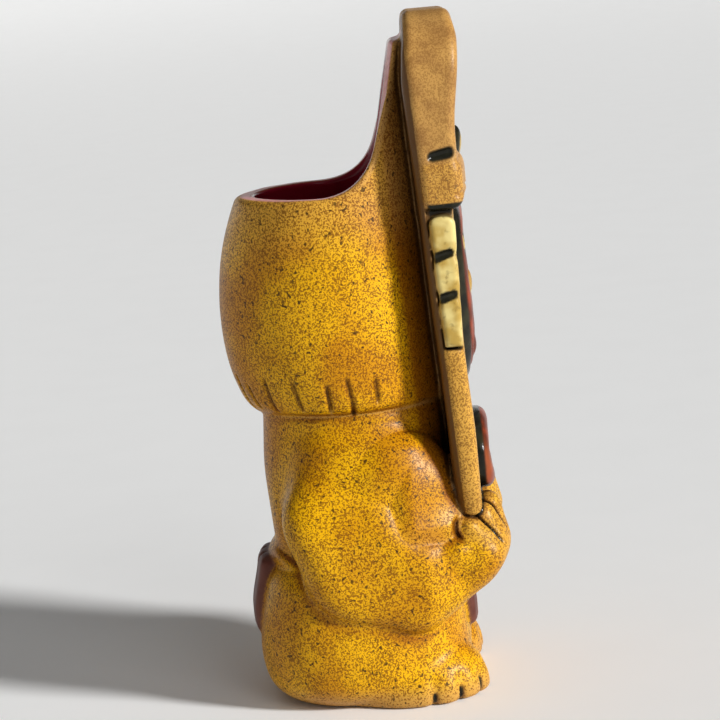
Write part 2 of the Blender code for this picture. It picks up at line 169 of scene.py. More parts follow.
def turned(p, centre, degrees, axis):
    """Points relative to a centre, turned about X (0), Y (1) or Z (2)."""
    q = p - centre
    a, b = [(1, 2), (2, 0), (0, 1)][axis]
    c = math.cos(math.radians(degrees))
    s = math.sin(math.radians(degrees))
    out = q.copy()
    out[:, a] = c * q[:, a] + s * q[:, b]
    out[:, b] = -s * q[:, a] + c * q[:, b]
    return out


def ball(q, radii):
    """Ellipsoid about the origin of q."""
    radii = np.asarray(radii, dtype=np.float32)
    reach = np.linalg.norm(q / radii, axis=1)
    slope = np.linalg.norm(q / radii ** 2, axis=1)
    return reach * (reach - 1.0) / np.maximum(slope, 1e-4)


def bone(q, start, end, r_start, r_end):
    """Capsule between two points, with a radius that changes along it."""
    start = np.asarray(start, dtype=np.float32)
    along = np.asarray(end, dtype=np.float32) - start
    t = np.clip((q - start) @ along / (along @ along), 0.0, 1.0)
    return np.linalg.norm(q - start - t[:, None] * along, axis=1) - mix(r_start, r_end, t)


def chain(q, points, radii, k):
    """Bones joined end to end."""
    out = bone(q, points[0], points[1], radii[0], radii[1])
    for i in range(1, len(points) - 1):
        out = smin(out, bone(q, points[i], points[i + 1], radii[i], radii[i + 1]), k)
    return out


def groove(distance, width, depth):
    """Material taken off along a line, from the distance to that line."""
    return depth * np.exp(-(distance / width) ** 2)


def line_distance(u, v, start, end):
    """Distance in a plane to a straight stroke."""
    du = end[0] - start[0]
    dv = end[1] - start[1]
    t = np.clip(((u - start[0]) * du + (v - start[1]) * dv) / (du * du + dv * dv), 0.0, 1.0)
    return np.hypot(u - start[0] - t * du, v - start[1] - t * dv)


def only_where(keep, points, shape):
    """Evaluate a costly shape on some of the points and call it far away elsewhere."""
    out = np.full(len(points), FAR, dtype=np.float32)
    if keep.any():
        out[keep] = shape(points[keep])
    return out


# ---------------------------------------------------------------------------
# Vessel: head, neck, trunk and the hollow inside
# ---------------------------------------------------------------------------

def mask_back(z):
    """Back plane of the mask, which leans back towards its top."""
    t = (z - MASK_LOW[2]) / (MASK_HIGH[2] - MASK_LOW[2])
    return mix(MASK_HIGH[1] - 6.6, MASK_HIGH[1], t)


def head_plan(z, wall):
    """Half width and back of the head, full at the ears and tucked in below and above."""
    low = np.clip((HEAD_MID - z) / (HEAD_MID - HEAD_LOW[2]), 0.0, 1.1) ** 2.3
    high = np.clip((z - HEAD_MID) / (RIM - HEAD_MID), 0.0, 1.0) ** 2
    half = HEAD_HIGH[0] - wall - 3.6 * low - 2.6 * high
    back = HEAD_HIGH[1] - wall - 8.0 * low - 8.6 * high
    return half, back


def head(x, y, z):
    """The head with its bobbed hair, rounded under and cut a little higher at the sides."""
    side = np.abs(x) / HEAD_HIGH[0]
    hem = HEAD_LOW[2] - 0.6 + 3.0 * ramp(0.2, 0.8, side)
    half, back = head_plan(z, 0.0)
    wall = oval(x, y, half, mask_back(z) - 2.0, back)
    return smax(wall, hem - z, mix(8.0, 4.5, ramp(0.3, 0.8, side)))


def above_rim(x, y, z):
    """What the rim cuts away: level at the back, sweeping up to a crest behind the mask."""
    foot = np.array((-6.0, RIM))
    top = np.array((mask_back(HEAD_HIGH[2]) + 1.2, HEAD_HIGH[2]))
    along = (top - foot) / np.linalg.norm(top - foot)
    crest = 3.4 * np.clip(1.0 - (x / 21.0) ** 2, 0.0, 1.0) * ramp(RIM + 4.0, RIM + 34.0, z)
    behind = (y - foot[0]) * along[1] - (z - foot[1]) * along[0] - crest
    return smin(smax(RIM - z, -behind, 14.0), HEAD_HIGH[2] - z, 1.5)


def cavity(x, y, z):
    """The hollow: a wide bowl in the head, a neck and a straight well in the trunk."""
    wide = ramp(NECK - 16.0, NECK + 4.0, z)
    bowl_half, bowl_back = head_plan(z, WALL)
    half = mix(21.4, bowl_half, wide)
    front = mix(-15.9, mask_back(z) - 2.0 + WALL, wide)
    back = mix(26.4, bowl_back, wide)
    well = oval(x, y, half, front, back)
    return smax(well, LINER_LOW[2] + 0.8 - z, 7.0)


def trunk(x, y, z):
    """Chest and waist between the hair and the lap."""
    swell = np.exp(-((z - 74.0) / 20.0) ** 2)
    half = TORSO_HIGH[0] - 0.8 + 1.6 * swell
    back = TORSO_HIGH[1] - 2.3 + 2.0 * swell
    side = squarish_oval(x, y, half, TORSO_LOW[1] + 1.0, back, 2.3)
    return smax(side, np.abs(z - 54.0) - 44.0, 5.0)


def flank(q):
    """The chest's side, which fills the space between the upper arm and the mask."""
    return ball(turned(q, (22.5, -12.0, 67.0), -18.0, 0), (13.8, 17.5, 23.0))


# ---------------------------------------------------------------------------
# Body
# ---------------------------------------------------------------------------

def leg(q):
    """The folded leg: a heavy mass, widest near the floor and domed towards the belt."""
    low, high = box("left_leg")
    x, y, z = q.T
    lift = z - 17.0
    back = high[1] - 0.6 - np.where(lift > 0.0, 0.0078, 0.016) * lift ** 2
    half = high[0] - 0.6 - np.where(lift > 0.0, 0.0062, 0.013) * lift ** 2
    front = low[1] + 0.4 + np.where(lift > 0.0, 0.0040, 0.010) * lift ** 2
    side = squarish_oval(x - 6.0, y, np.maximum(half - 6.0, 4.0), front, back, 2.35)
    return smax(smax(side, z - 47.0, 9.0), -z, 9.0)


def foot_turn(q):
    """Direction of a point from the foot's middle: 0 is straight ahead, 90 is outwards."""
    low, high = box("left_foot")
    middle = (high[0] - 17.4, low[1] + 22.6)
    aside = q[:, 0] - middle[0]
    ahead = middle[1] - q[:, 1]
    return np.degrees(np.arctan2(aside, ahead)), np.hypot(aside, ahead)


TOE_GAPS = (-6.0, 19.0, 44.0, 74.0)          # directions of the slots between the toes


def foot(q):
    """The foot: a blunt wedge, lobed between its toe slots."""
    low, high = box("left_foot")
    centre = (high[0] - 18.0, low[1] + 23.4, 2.5)
    turn, reach = foot_turn(q)
    lobe = np.zeros(len(q), dtype=np.float32)
    for gap in TOE_GAPS:
        lobe = np.maximum(lobe, np.exp(-((turn - gap) / 7.5) ** 2))
    lobe = lobe * ramp(12.0, 7.0, q[:, 2]) * ramp(13.0, 17.0, reach)
    body = ball(q - centre, (18.4, 24.0, 18.5)) + 0.75 * lobe
    return smax(body, -q[:, 2], 3.0)


def toe_slots(q):
    """How far into a toe slot each point is, from 0 to 1."""
    turn, reach = foot_turn(q)
    cut = np.zeros(len(q), dtype=np.float32)
    for i, gap in enumerate(TOE_GAPS):
        across = np.radians(turn - gap) * reach
        tall = 8.2 - 0.8 * i
        cut = np.maximum(cut, groove(across, 0.85, 1.0) * ramp(tall, tall - 2.6, q[:, 2]))
    return cut * ramp(14.0, 16.5, reach) * ramp(20.0, 10.0, q[:, 2])


ARM = ((3.5, 86.0, 15.0), (9.0, 63.0, 18.4), (3.0, 47.8, 19.4), (-11.0, 41.0, 16.0),
       (-21.0, 44.0, 12.6), (-29.0, 47.0, 10.4))   # Y, Z and radius along the bent arm


def arm(q):
    """Upper arm, elbow and forearm: a thick rounded slab laid against the body."""
    high = box("left_arm")[1]
    x, y, z = q.T
    flat = q.copy()
    flat[:, 0] = 0.0
    points = [(0.0, station[0], station[1]) for station in ARM]
    outline = chain(flat, points, [station[2] for station in ARM], 5.0)
    outer = high[0] - 0.6 - 12.6 * ramp(54.0, 95.0, z) - 5.0 * ramp(-15.0, -30.0, y)
    bend = line_distance(y, z, (-16.0, 66.0), (-23.0, 45.0))
    outer = outer - 0.8 * np.exp(-(bend / 5.5) ** 2)
    return smax(smax(outline, x - outer, 11.5), 15.5 - x, 6.0)


FINGERS = ((31.4, -30.6, 56.6, -36.0, 48.0), (26.6, -35.2, 59.4, -38.2, 50.4),
           (21.7, -37.6, 61.6, -38.8, 52.0), (16.8, -37.6, 61.0, -38.4, 51.0))


def finger(q, i):
    """One finger, from its tip on the mask's front down to its knuckle."""
    x, tip_y, tip_z, knuckle_y, knuckle_z = FINGERS[i]
    return bone(q, (x - 0.4, tip_y, tip_z), (x, knuckle_y, knuckle_z), 3.9, 4.6)


def hand(q):
    """The hand, its fingers curled over the mask's lower corner."""
    palm = ball(turned(q, (24.4, -31.4, 47.6), 40.0, 0), (11.8, 9.8, 13.0))
    fingers = finger(q, 0)
    for i in range(1, len(FINGERS)):
        fingers = smin(fingers, finger(q, i), 3.0)
    wrist = ball(q - (33.4, -26.4, 50.4), (4.6, 4.0, 4.4))
    return smin(smin(palm, fingers, 3.0), wrist, 2.2)


def hand_lines(q):
    """The incised lines between the fingers and round the wrist, from 0 to 1."""
    cut = np.zeros(len(q), dtype=np.float32)
    own = [finger(q, i) for i in range(len(FINGERS))]
    for i in range(len(FINGERS) - 1):
        between = groove(own[i] - own[i + 1], 0.62, 1.0)
        fade = (FINGERS[i][4] + 1.5, FINGERS[i][4] + 5.0)
        close = ramp(2.2, 1.0, np.minimum(own[i], own[i + 1]))
        cut = np.maximum(cut, between * close * ramp(fade[0], fade[1], q[:, 2]))
    return cut


def wrist_line(q):
    """The soft crease around the wrist, from 0 to 1."""
    x, y, z = q.T
    sweep = np.abs(np.hypot(y + 31.6, z - 57.8) - 5.6)
    crease = groove(sweep, 0.8, 0.9) * ramp(-30.0, -28.4, y) * ramp(52.6, 54.8, z)
    return crease * ramp(62.0, 59.0, z) * ramp(26.0, 29.0, x)


def belt(x, y, z):
    """The rolled belt around the waist, drooping towards the arms."""
    middle = 0.5 * (BELT_LOW + BELT_HIGH)
    side = squarish_oval(x, y, BELT_HIGH[0] - 3.2, BELT_LOW[1] + 3.4, BELT_HIGH[1] - 3.2, 2.2)
    level = middle[2] - 3.6 * ramp(33.0, 23.0, y)
    return np.hypot(side, (z - level) * 0.92) - 3.1


def flap(x, proud, buried, half, under, over, corner):
    """A slab with two pleats, from the distances to its faces, its hem and its top."""
    slab = smax(proud, buried, 2.0) + groove(np.abs(x) - 3.4, 0.9, 0.8)
    return smax(smax(slab, np.abs(x) - half, 2.6), smax(under, over, 2.0), corner)


def cloth_back(q):
    """The rear flap: a curved slab that hangs from the belt and flares a little."""
    low, high = box("loincloth_back")
    x, y, z = q.T
    drop = (high[2] - z) / (high[2] - low[2])
    face = high[1] - 3.0 + 3.2 * ramp(-0.1, 0.6, drop) - 0.011 * x ** 2
    half = high[0] - 1.6 + 1.2 * drop
    hem = low[2] + 3.6 - 0.006 * x ** 2
    return flap(x, y - face, face - 9.0 - y, half, hem - z, z - high[2] - 2.6, 3.4)


def cloth_front(q):
    """The front flap: the same slab, seen between the feet."""
    low, high = box("loincloth_front")
    x, y, z = q.T
    drop = (high[2] - z) / (high[2] - low[2])
    face = low[1] + 2.6 - 2.8 * ramp(0.0, 0.75, drop) + 0.012 * x ** 2
    half = high[0] - 1.4 + 0.8 * drop
    hem = low[2] + 0.6 + 0.010 * x ** 2
    return flap(x, face - y, y - face - 9.0, half, hem - z, z - high[2] - 1.0, 3.0)


# ---------------------------------------------------------------------------
# Mask
# ---------------------------------------------------------------------------

def mask_edge(z):
    """Y of the crisp edge where the mask's side face meets its rear chamfer."""
    t = np.clip((z - MOUTH) / (MASK_HIGH[2] - 12.0 - MOUTH), -0.25, 1.0)
    return MASK_HIGH[1] + mix(-7.5, -1.0, t) - 0.4 * ramp(205.0, 218.0, z)


def mask_rear(z):
    """Back face of the mask: it leans back, then drops straight behind the mouth."""
    return mask_edge(z) + 0.8 + 1.7 * ramp(214.0, 196.0, z)


def mask_outline(x, z):
    """Distance to the mask's outline from the front: round crown, bevelled jaw."""
    jaw = 1.0 - 0.03 * ramp(MASK_LOW[2] + 50.0, MASK_LOW[2], z)
    u = np.abs(x) / jaw
    middle = 0.5 * (MASK_LOW[2] + MASK_HIGH[2])
    tall = 0.5 * (MASK_HIGH[2] - MASK_LOW[2])
    v = z - middle
    corner = np.where(v > 0.0, 23.0, 5.0)
    a = u - (MASK_HIGH[0] + 0.3 - corner)
    b = np.abs(v) - (tall - corner)
    outside = (np.maximum(a, 0.0) ** 2.25 + np.maximum(b, 0.0) ** 2.25) ** (1.0 / 2.25)
    rounded = outside + np.minimum(np.maximum(a, b), 0.0) - corner
    bevel = (np.abs(x) - MASK_HIGH[0]) * 0.95 + (MASK_LOW[2] + 13.0 - z) * 0.32
    return smax(rounded, bevel, 0.6)


def mask_front(x, z):
    """Front surface of the mask's border and forehead."""
    curve = (x / MASK_HIGH[0]) ** 2
    border = mix(-34.4, -36.0, ramp(122.0, MOUTH, z)) + 1.3 * curve
    forehead = -38.9 + 2.7 * ramp(208.0, 182.0, z) + 0.6 * curve + 1.6 * ramp(210.0, 220.0, z)
    return mix(border, forehead, ramp(166.0, 170.0, z))


def plate(x, y, z):
    """The mask's slab, with its chamfered back, sunken field and the niches for the beads."""
    outline = mask_outline(x, z)
    edge = smax(outline, mask_front(x, z) - y, 3.0)
    body = smax(edge, y - mask_rear(z), 2.5)
    chamfer = (outline + (y - mask_edge(z)) * 0.9) / 1.35
    body = smax(body, chamfer, 1.2)
    well = smax(outline + 5.4, z - FIELD_HIGH[2] - 0.6, 2.0)
    well = smax(well, y - FIELD_HIGH[1] - 1.8, 2.0)
    body = smax(body, -well, 1.4)
    shield = smax(outline + 7.4, box("forehead_panel")[0][2] - 0.6 - z, 3.0)
    body = smax(body, -smax(shield, y - mask_front(x, z) - 2.2, 1.0), 1.2)
    return smax(body, -niche(x, y, z), 0.9)


def niche(x, y, z):
    """The notch in the mask's side edge that holds the beads."""
    low = box("left_lower_bead")[0][2] - 1.2
    high = BROW_LOW[2] + 3.0
    tall = np.abs(z - 0.5 * (low + high)) - 0.5 * (high - low)
    side = MASK_HIGH[0] - 2.6 - np.abs(x)
    return smax(smax(tall, side, 1.0), y - mask_edge(z) - 0.3, 1.0)


def ground(x, y, z):
    """The dark field behind the face, slightly domed."""
    inside = smax(mask_outline(x, z) + 4.6, z - FIELD_HIGH[2] - 2.0, 2.0)
    surface = FIELD_LOW[1] + 0.5 + 0.0008 * x ** 2
    return smax(smax(inside, surface - y, 1.0), y - surface - 5.0, 1.0)


def brow_level(x):
    """Height of the brow's middle: knitted at the nose and drooping at the temples."""
    middle = 0.5 * (BROW_LOW[2] + BROW_HIGH[2])
    spread = np.abs(x) / BROW_HIGH[0]
    return middle - 1.2 + 2.6 * np.sin(np.pi * np.clip(spread, 0.0, 1.0)) + 0.8 * spread


def brow(x, y, z):
    """The heavy brow across the mask, with a line incised along it."""
    half_tall = mix(6.6, 7.6, ramp(6.0, 24.0, np.abs(x)))
    rise = z - brow_level(x)
    face = BROW_LOW[1] + 0.3 + 1.6 * (x / BROW_HIGH[0]) ** 2 - 0.6 * np.exp(-(x / 9.0) ** 2)
    bar = smax(np.abs(rise) - half_tall, np.abs(x) - BROW_HIGH[0], 3.2)
    bar = smax(bar, face - y, 4.2)
    bar = smax(bar, y - mask_back(z) + 0.4, 2.4)
    return bar + groove(rise + 2.6, 0.7, 0.55) * ramp(-33.0, -36.0, y)


def forehead_panel(x, y, z):
    """A fan of leaves carved in low relief, a little below the forehead's rim."""
    low = box("forehead_panel")[0]
    inside = smax(mask_outline(x, z) + 8.2, low[2] + 0.4 - z, 3.0)
    root = low[2] - 14.0
    turn = np.arctan2(x, z - root)
    reach = np.hypot(x, z - root)
    pitch = math.radians(13.0)
    across = ((turn / pitch + 0.5) % 1.0 - 0.5) * pitch * reach
    leaf = 1.0 * (np.abs(across) / (0.5 * pitch * reach)) ** 3
    rib = groove(across, 0.7, 0.45)
    surface = mask_front(x, z) + 1.5 + leaf + rib + groove(inside + 2.4, 0.8, 0.7)
    return smax(smax(inside, surface - y, 0.8), y - surface - 3.0, 1.0)


BOSS_LEVEL = box("forehead_boss")[0][2] + 2.6   # the boss sits low, against the brow


def boss(q):
    """A pointed boss on the brow."""
    low, high = box("forehead_boss")
    middle = 0.5 * (low + high)
    p = turned(q, (0.0, middle[1] + 0.6, BOSS_LEVEL), 10.0, 0)
    return ball(p, BOSS_RADII) + groove(p[:, 0], 0.8, 0.5)


def face_outline(x, z):
    """Distance to the outline of the raised face, from the front."""
    low = box("left_cheek")[0][2] - 6.0
    high = FIELD_HIGH[2] + 4.0
    middle = 0.5 * (low + high)
    tall = 0.5 * (high - low)
    half = 28.6 - 5.5 * ramp(middle - 2.0, low, z)
    reach = (np.abs(x / half) ** 2.8 + np.abs((z - middle) / tall) ** 2.8) ** (1.0 / 2.8)
    return (reach - 1.0) * half


def cheek(q):
    """The face beside the nose: a broad convex shield, hollowed for the eye."""
    x, y, z = q.T
    edge = face_outline(x, z)
    rise = 1.0 - np.clip(-edge / 6.5, 0.0, 1.0)
    front = -36.6 + 4.6 * rise ** 2.2 + 0.8 * ramp(112.0, 100.0, z)
    mound = np.hypot((x - 18.0) / 9.0, (z - 124.0) / 13.0)
    front = front - 0.9 * np.exp(-mound ** 2 * 1.6)
    sweep = np.hypot(x - 2.0, (z - 124.0) * 0.94)
    for radius in (15.6, 19.6):
        front = front + groove(sweep - radius, 0.8, 1.0) * ramp(122.0, 114.0, z)
    body = smax(smax(edge, front - y, 1.6), y + 30.0, 1.0)
    socket = ball(turned(q, eye_centre() + (0.0, -4.0, 0.0), EYE_TILT, 1), (9.0, 4.6, 6.6))
    return smax(body, -socket, 1.4)


def nose(q):
    """A long straight ridge that widens into two carved nostrils."""
    low, high = box("nose")
    x, y, z = q.T
    down = np.clip((high[2] - z) / (high[2] - low[2]), -0.2, 1.1)
    tip = mix(-36.6, -38.2, ramp(0.0, 0.62, down)) + 1.2 * ramp(0.72, 1.05, down)
    half = 3.6 + 1.4 * down + 4.8 * ramp(0.5, 0.9, down)
    ridge = np.abs(x) * 0.9 - half + np.maximum(tip + 4.8 - y, 0.0) * mix(0.5, 0.8, down)
    body = smax(smax(ridge, tip - y, 2.4), low[2] + 0.4 - z, 3.0)
    body = smax(body, z - high[2] - 8.0, 3.0)
    wing = ball(q - (7.6, -34.2, low[2] + 6.0), (4.8, 3.9, 5.4))
    hole = ball(q - (5.6, -37.6, low[2] + 0.6), (2.2, 2.6, 2.4))
    return smax(smin(body, wing, 1.6), -hole, 1.0)


def nose_band(q):
    """A small raised bead across the nose's ridge."""
    low, high = box("nose")
    return ball(q - (0.0, -37.0, mix(low[2], high[2], 0.54)), (4.2, 1.4, 4.2))


def eye_centre():
    """Middle of the left eye, a little nearer to the nose than its solid's."""
    low, high = box("left_eye")
    return 0.5 * (low + high) + (-3.2, 0.6, -0.6)


def eye(q):
    """A heavy-lidded almond: its lid, its ball and the slit of its pupil."""
    p = turned(q, eye_centre(), EYE_TILT, 1)
    almond = (np.abs(p[:, 2] - 0.5) / 4.3 + (p[:, 0] / 8.2) ** 2 - 1.0) * 3.0
    front = -35.4 + 0.016 * p[:, 0] ** 2
    lid = smax(np.abs(almond) - 1.0, front - q[:, 1], 1.2)
    lid = smax(lid, q[:, 1] + 31.0, 0.5)
    bulge = smax(ball(p + (0.0, -1.0, 0.0), (8.0, 2.9, 5.0)), almond, 0.6)
    slit = ball(p + (0.0, 2.2, -1.1), (2.6, 1.6, 2.4))
    return lid, smax(bulge, -slit, 0.5), slit


def mouth_outline(q, grow):
    """A wide rounded mouth, as a distance in the mask's plane."""
    low, high = box("lips")
    middle = 0.5 * (low + high)
    half = 0.5 * (high[0] - low[0]) - 0.8 + grow
    tall = 0.5 * (high[2] - low[2]) - 0.4 + grow
    u = np.abs(q[:, 0]) / half
    v = np.abs(q[:, 2] - middle[2] + 0.0016 * q[:, 0] ** 2) / tall
    reach = (u ** 2.7 + v ** 2.7) ** (1.0 / 2.7)
    return (reach - 1.0) * tall


def lips(q):
    """The lips: one thick ring, fuller below."""
    low, high = box("lips")
    y = q[:, 1]
    outer = mouth_outline(q, 0.0)
    ring = smax(outer, -mouth_outline(q, -6.0), 1.0)
    up = (q[:, 2] - low[2]) / (high[2] - low[2])
    crown = low[1] - 0.7 + 1.4 * ramp(0.3, 1.0, up) + 0.0022 * q[:, 0] ** 2
    swell = 1.3 * np.clip(np.abs(outer + 3.0) / 3.0, 0.0, 1.3) ** 2
    ring = smax(ring, crown + swell - y, 1.8)
    return smax(ring, y + 30.5, 1.0)


def teeth(q):
    """Two rows of blunt teeth."""
    low, high = box("teeth")
    middle = 0.5 * (low + high)
    x, y, z = q.T
    inside = mouth_outline(q, -5.0)
    pitch = 4.8
    beside = 0.5 * pitch - np.abs((x / pitch + 0.5) % 1.0 - 0.5) * pitch
    face = low[1] - 0.1 + 0.004 * x ** 2
    body = smax(smax(inside, face - y, 1.0), y + 31.0, 0.5)
    return body + groove(beside, 0.6, 1.2) + groove(z - middle[2], 0.8, 1.7)


BEADS = ("upper_bead", "middle_bead", "lower_bead")


def bead_strip(q):
    """The ivory strip in the niche: domed on top, notched from behind between its beads."""
    low = box("left_lower_bead")[0]
    high = box("left_upper_bead")[1]
    x, y, z = q.T
    back = mask_edge(z) + 0.1
    front = -33.6 + 0.4 * ramp(150.0, 120.0, z)
    centre = 0.5 * (back + front)
    deep = 0.5 * (back - front)
    side = np.abs(y - centre) - deep
    top = z - high[2] - 0.6 + 1.3 * ((y - centre) / deep) ** 2
    strip = smax(smax(top, side, 2.0), low[2] - 0.9 - z, 0.5)
    strip = smax(strip, np.abs(x - 35.2) - 2.6, 2.0)
    strip = smax(strip, -bead_notches(q), 0.5)
    for level in bead_joints():
        strip = strip + 0.35 * np.exp(-((z - level) / 1.8) ** 2)
    return strip


def bead_notches(p):
    """The two dark notches that part the beads, open towards the mask's rear."""
    q = folded(p)
    out = np.full(len(p), FAR)
    for level in bead_joints():
        middle = strip_middle(level)
        start = (38.0, middle + 5.0, level - 0.9)
        end = (37.8, middle - 1.4, level + 0.9)
        out = np.minimum(out, bone(q, start, end, 1.25, 0.95))
    return out


def bead_joints():
    """Levels of the notches between the beads."""
    lower, middle, upper = (box("left_" + name) for name in BEADS[::-1])
    return (0.5 * (lower[1][2] + middle[0][2]), 0.5 * (middle[1][2] + upper[0][2]))


def strip_middle(level):
    """Y of the middle of the bead strip at a level."""
    return 0.5 * (float(mask_edge(np.float32(level))) - 33.4)


def bead(q, name):
    """One bead's share of the strip."""
    first, second = bead_joints()
    z = q[:, 2]
    if name == "lower_bead":
        share = z - first
    elif name == "middle_bead":
        share = np.maximum(first - z, z - second)
    else:
        share = second - z
    return np.maximum(bead_strip(q), share)


# ---------------------------------------------------------------------------
# The whole figure
# ---------------------------------------------------------------------------

def pieces_of(p):
    """Every piece's own distance, by the label that it takes on the left-hand side."""
    x, y, z = p.T
    q = folded(p)
    side = q[:, 0]
    d = {}
    d["head_bowl"] = head(x, y, z)
    d["torso_shell"] = np.minimum(trunk(x, y, z), only_where((z > 40) & (z < 92), q, flank))
    d["hip_shell"] = smax(oval(x, y, 22.0, -24.5, 34.0), np.abs(z - 25.0) - 24.5, 4.0)
    d["waist_band"] = belt(x, y, z)
    d["left_leg"] = only_where(z < 56, q, leg)
    d["left_foot"] = only_where(z < 28, q, foot)
    d["left_arm"] = only_where((z > 15) & (z < 104) & (side > 8), q, arm)
    d["left_hand"] = only_where((z > 32) & (z < 74) & (y < -15), q, hand)
    d["loincloth_back"] = only_where((z < 54) & (y > 20), q, cloth_back)
    d["loincloth_front"] = only_where((z < 54) & (y < -14), q, cloth_front)
    front = (z > 52) & (y < -12)
    d["mask_plate"] = only_where(front, p, lambda s: plate(*s.T))
    d["mask_ground"] = only_where(front, q, lambda s: ground(*s.T))
    d["brow_bar"] = only_where(front & (z > 148) & (z < 186), p, lambda s: brow(*s.T))
    d["forehead_panel"] = only_where(front & (z > 170), p, lambda s: forehead_panel(*s.T))
    d["forehead_boss"] = only_where(front & (z > 160) & (z < 200), p, boss)
    face = front & (z < 172)
    d["nose"] = only_where(face, q, lambda s: np.minimum(nose(s), nose_band(s)))
    d["left_cheek"] = only_where(face, q, cheek)
    d["lips"] = only_where(face & (z < 104), p, lips)
    d["teeth"] = only_where(face & (z < 104), p, teeth)
    d["left_eye"] = only_where(face & (z > 124), q, lambda s: np.minimum(eye(s)[0], eye(s)[1]))
    for name in BEADS:
        d["left_" + name] = only_where(front & (side > 24) & (z > 108) & (z < 166), q,
                                       lambda s, n=name: bead(s, n))
    return d


def hair_strokes(p):
    """Short incised strokes along the hair's lower edge, from 0 to 1."""
    x, y, z = p.T
    turn = np.degrees(np.arctan2(np.abs(x), y - 8.0))
    reach = np.hypot(x, y - 8.0)
    cut = np.zeros(len(p), dtype=np.float32)
    for i, middle in enumerate((6.0, 21.0, 33.0, 49.0, 68.0, 86.0, 98.0, 112.0)):
        tall = 6.2 + 1.2 * math.sin(2.4 * i)
        level = HEAD_LOW[2] + 9.0 + 0.8 * math.cos(1.7 * i)
        slant = 0.13 + 0.07 * math.sin(3.1 * i + 1.0)
        across = np.radians(turn - middle) * reach + (z - level) * slant
        fade = ramp(tall, tall - 2.6, np.abs(z - level))
        cut = np.maximum(cut, groove(across, 0.75, 1.0) * fade)
    return cut * ramp(26.0, 29.0, reach)


def cuts(p):
    """Every incised line, from 0 to 1: those in the hair, and those filled with dark glaze."""
    q = folded(p)
    z = p[:, 2]
    hair = np.zeros(len(p), dtype=np.float32)
    inked = np.zeros(len(p), dtype=np.float32)
    near = (z > 88) & (z < 116)
    hair[near] = hair_strokes(p[near])
    near = z < 14
    inked[near] = toe_slots(q[near])
    near = (z > 38) & (z < 72) & (p[:, 1] < -20)
    inked[near] = hand_lines(q[near])
    hair[near] = wrist_line(q[near])
    return hair, inked


def surface_of(p):
    """Distance to the finished surface, and the pieces' own distances."""
    x, y, z = p.T
    d = pieces_of(p)
    side = np.abs(x)
    shoulder = np.maximum(ramp(64.0, 80.0, z) * mix(0.5, 1.0, ramp(20.0, 4.0, y)),
                          ramp(50.0, 60.0, z) * ramp(-4.0, -14.0, y))
    blend = mix(mix(1.6, 12.0, shoulder), 3.0, ramp(84.0, 93.0, z))
    body = d["torso_shell"]
    for name, fillet in (("hip_shell", 4.0), ("left_leg", mix(2.5, 6.0, ramp(20.0, 6.0, side))),
                         ("waist_band", 0.9), ("left_foot", 1.8), ("left_arm", blend),
                         ("left_hand", mix(0.8, 4.5, ramp(57.0, 50.0, z))), ("head_bowl", 1.4),
                         ("loincloth_back", 1.0), ("loincloth_front", 1.0)):
        body = smin(body, d[name], fillet)
    body = smax(body, -above_rim(x, y, z), 1.8)
    face = smin(smin(d["left_cheek"], d["nose"], 1.2), d["left_eye"], 0.8)
    mouth = smin(d["lips"], d["teeth"], 0.6)
    mask = d["mask_plate"]
    for part, fillet in ((d["mask_ground"], 0.8), (face, 0.9), (d["brow_bar"], 0.8),
                         *((d["left_" + name], 0.4) for name in BEADS),
                         (mouth, 0.9), (d["forehead_panel"], 0.6), (d["forehead_boss"], 1.0)):
        mask = smin(mask, part, fillet)
    slot = only_where((z > 168) & (z < 184) & (y < -20), p, brow_slot)
    mask = smax(mask, -slot, 1.0)
    join = mix(2.8, 1.6, ramp(90.0, 66.0, z))
    whole = smin(body, mask, mix(join, 0.7, ramp(-26.0, -29.0, y)))
    hair, inked = cuts(p)
    whole = whole + 1.0 * hair + 1.1 * inked
    hollow = cavity(x, y, z)
    whole = smax(whole, -hollow, 1.8)
    whole = smax(whole, -z, 0.6)
    d["inner_glaze"] = hollow
    d["base_disc"] = clay_disc(x, y, z, 2.4)
    return whole + wobble(x, y, z), d


def clay_disc(x, y, z, top):
    """The disc of bare clay that the mug stands on."""
    return smax(oval(x, y, 25.0, -22.0, 32.0), z - top, 0.4)


def brow_slot(p):
    """The dark pit between the forehead and the end of the brow."""
    q = folded(p)
    x, y, z = MASK_HIGH[0] + 0.6, BROW_LOW[1] + 8.0, BROW_HIGH[2] + 1.2
    return bone(q, (x, y + 2.6, z - 0.4), (x, y - 2.6, z + 0.5), 1.5, 1.7)


def wobble(x, y, z):
    """The slight unevenness of a hand-finished casting."""
    slow = np.sin(0.11 * x + 0.07 * z + 1.0) * np.sin(0.09 * y - 0.05 * z)
    quick = np.sin(0.33 * x - 0.21 * y + 0.4) * np.sin(0.27 * z + 0.17 * y)
    return (0.16 * slow + 0.06 * quick).astype(np.float32)


def label_of(p, d):
    """The number of the piece that each point inside the casting belongs to."""
    names = [name for name in d if name not in ("inner_glaze", "base_disc")]
    stack = np.stack([d[name] for name in names])
    numbers = np.array([NUMBER[name] for name in names])
    label = numbers[stack.argmin(axis=0)]
    for name in PAIRED:
        label[(label == NUMBER["left_" + name]) & (p[:, 0] < 0.0)] = NUMBER["right_" + name]
    label[d["inner_glaze"] < LINING] = NUMBER["inner_glaze"]
    label[d["base_disc"] < 0.0] = NUMBER["base_disc"]
    return label.astype(np.uint8)


def evaluate(points, want_label):
    """Surface distance at many points, with the piece numbers if they are wanted."""
    dist = np.empty(len(points), dtype=np.float32)
    label = np.zeros(len(points), dtype=np.uint8)
    for start in range(0, len(points), CHUNK):
        part = points[start:start + CHUNK]
        whole, own = surface_of(part)
        dist[start:start + CHUNK] = whole
        if want_label:
            label[start:start + CHUNK] = label_of(part, own)
    return dist, label


# ---------------------------------------------------------------------------
# Skinning: one lattice for the whole casting, one closed mesh for each piece
# ---------------------------------------------------------------------------

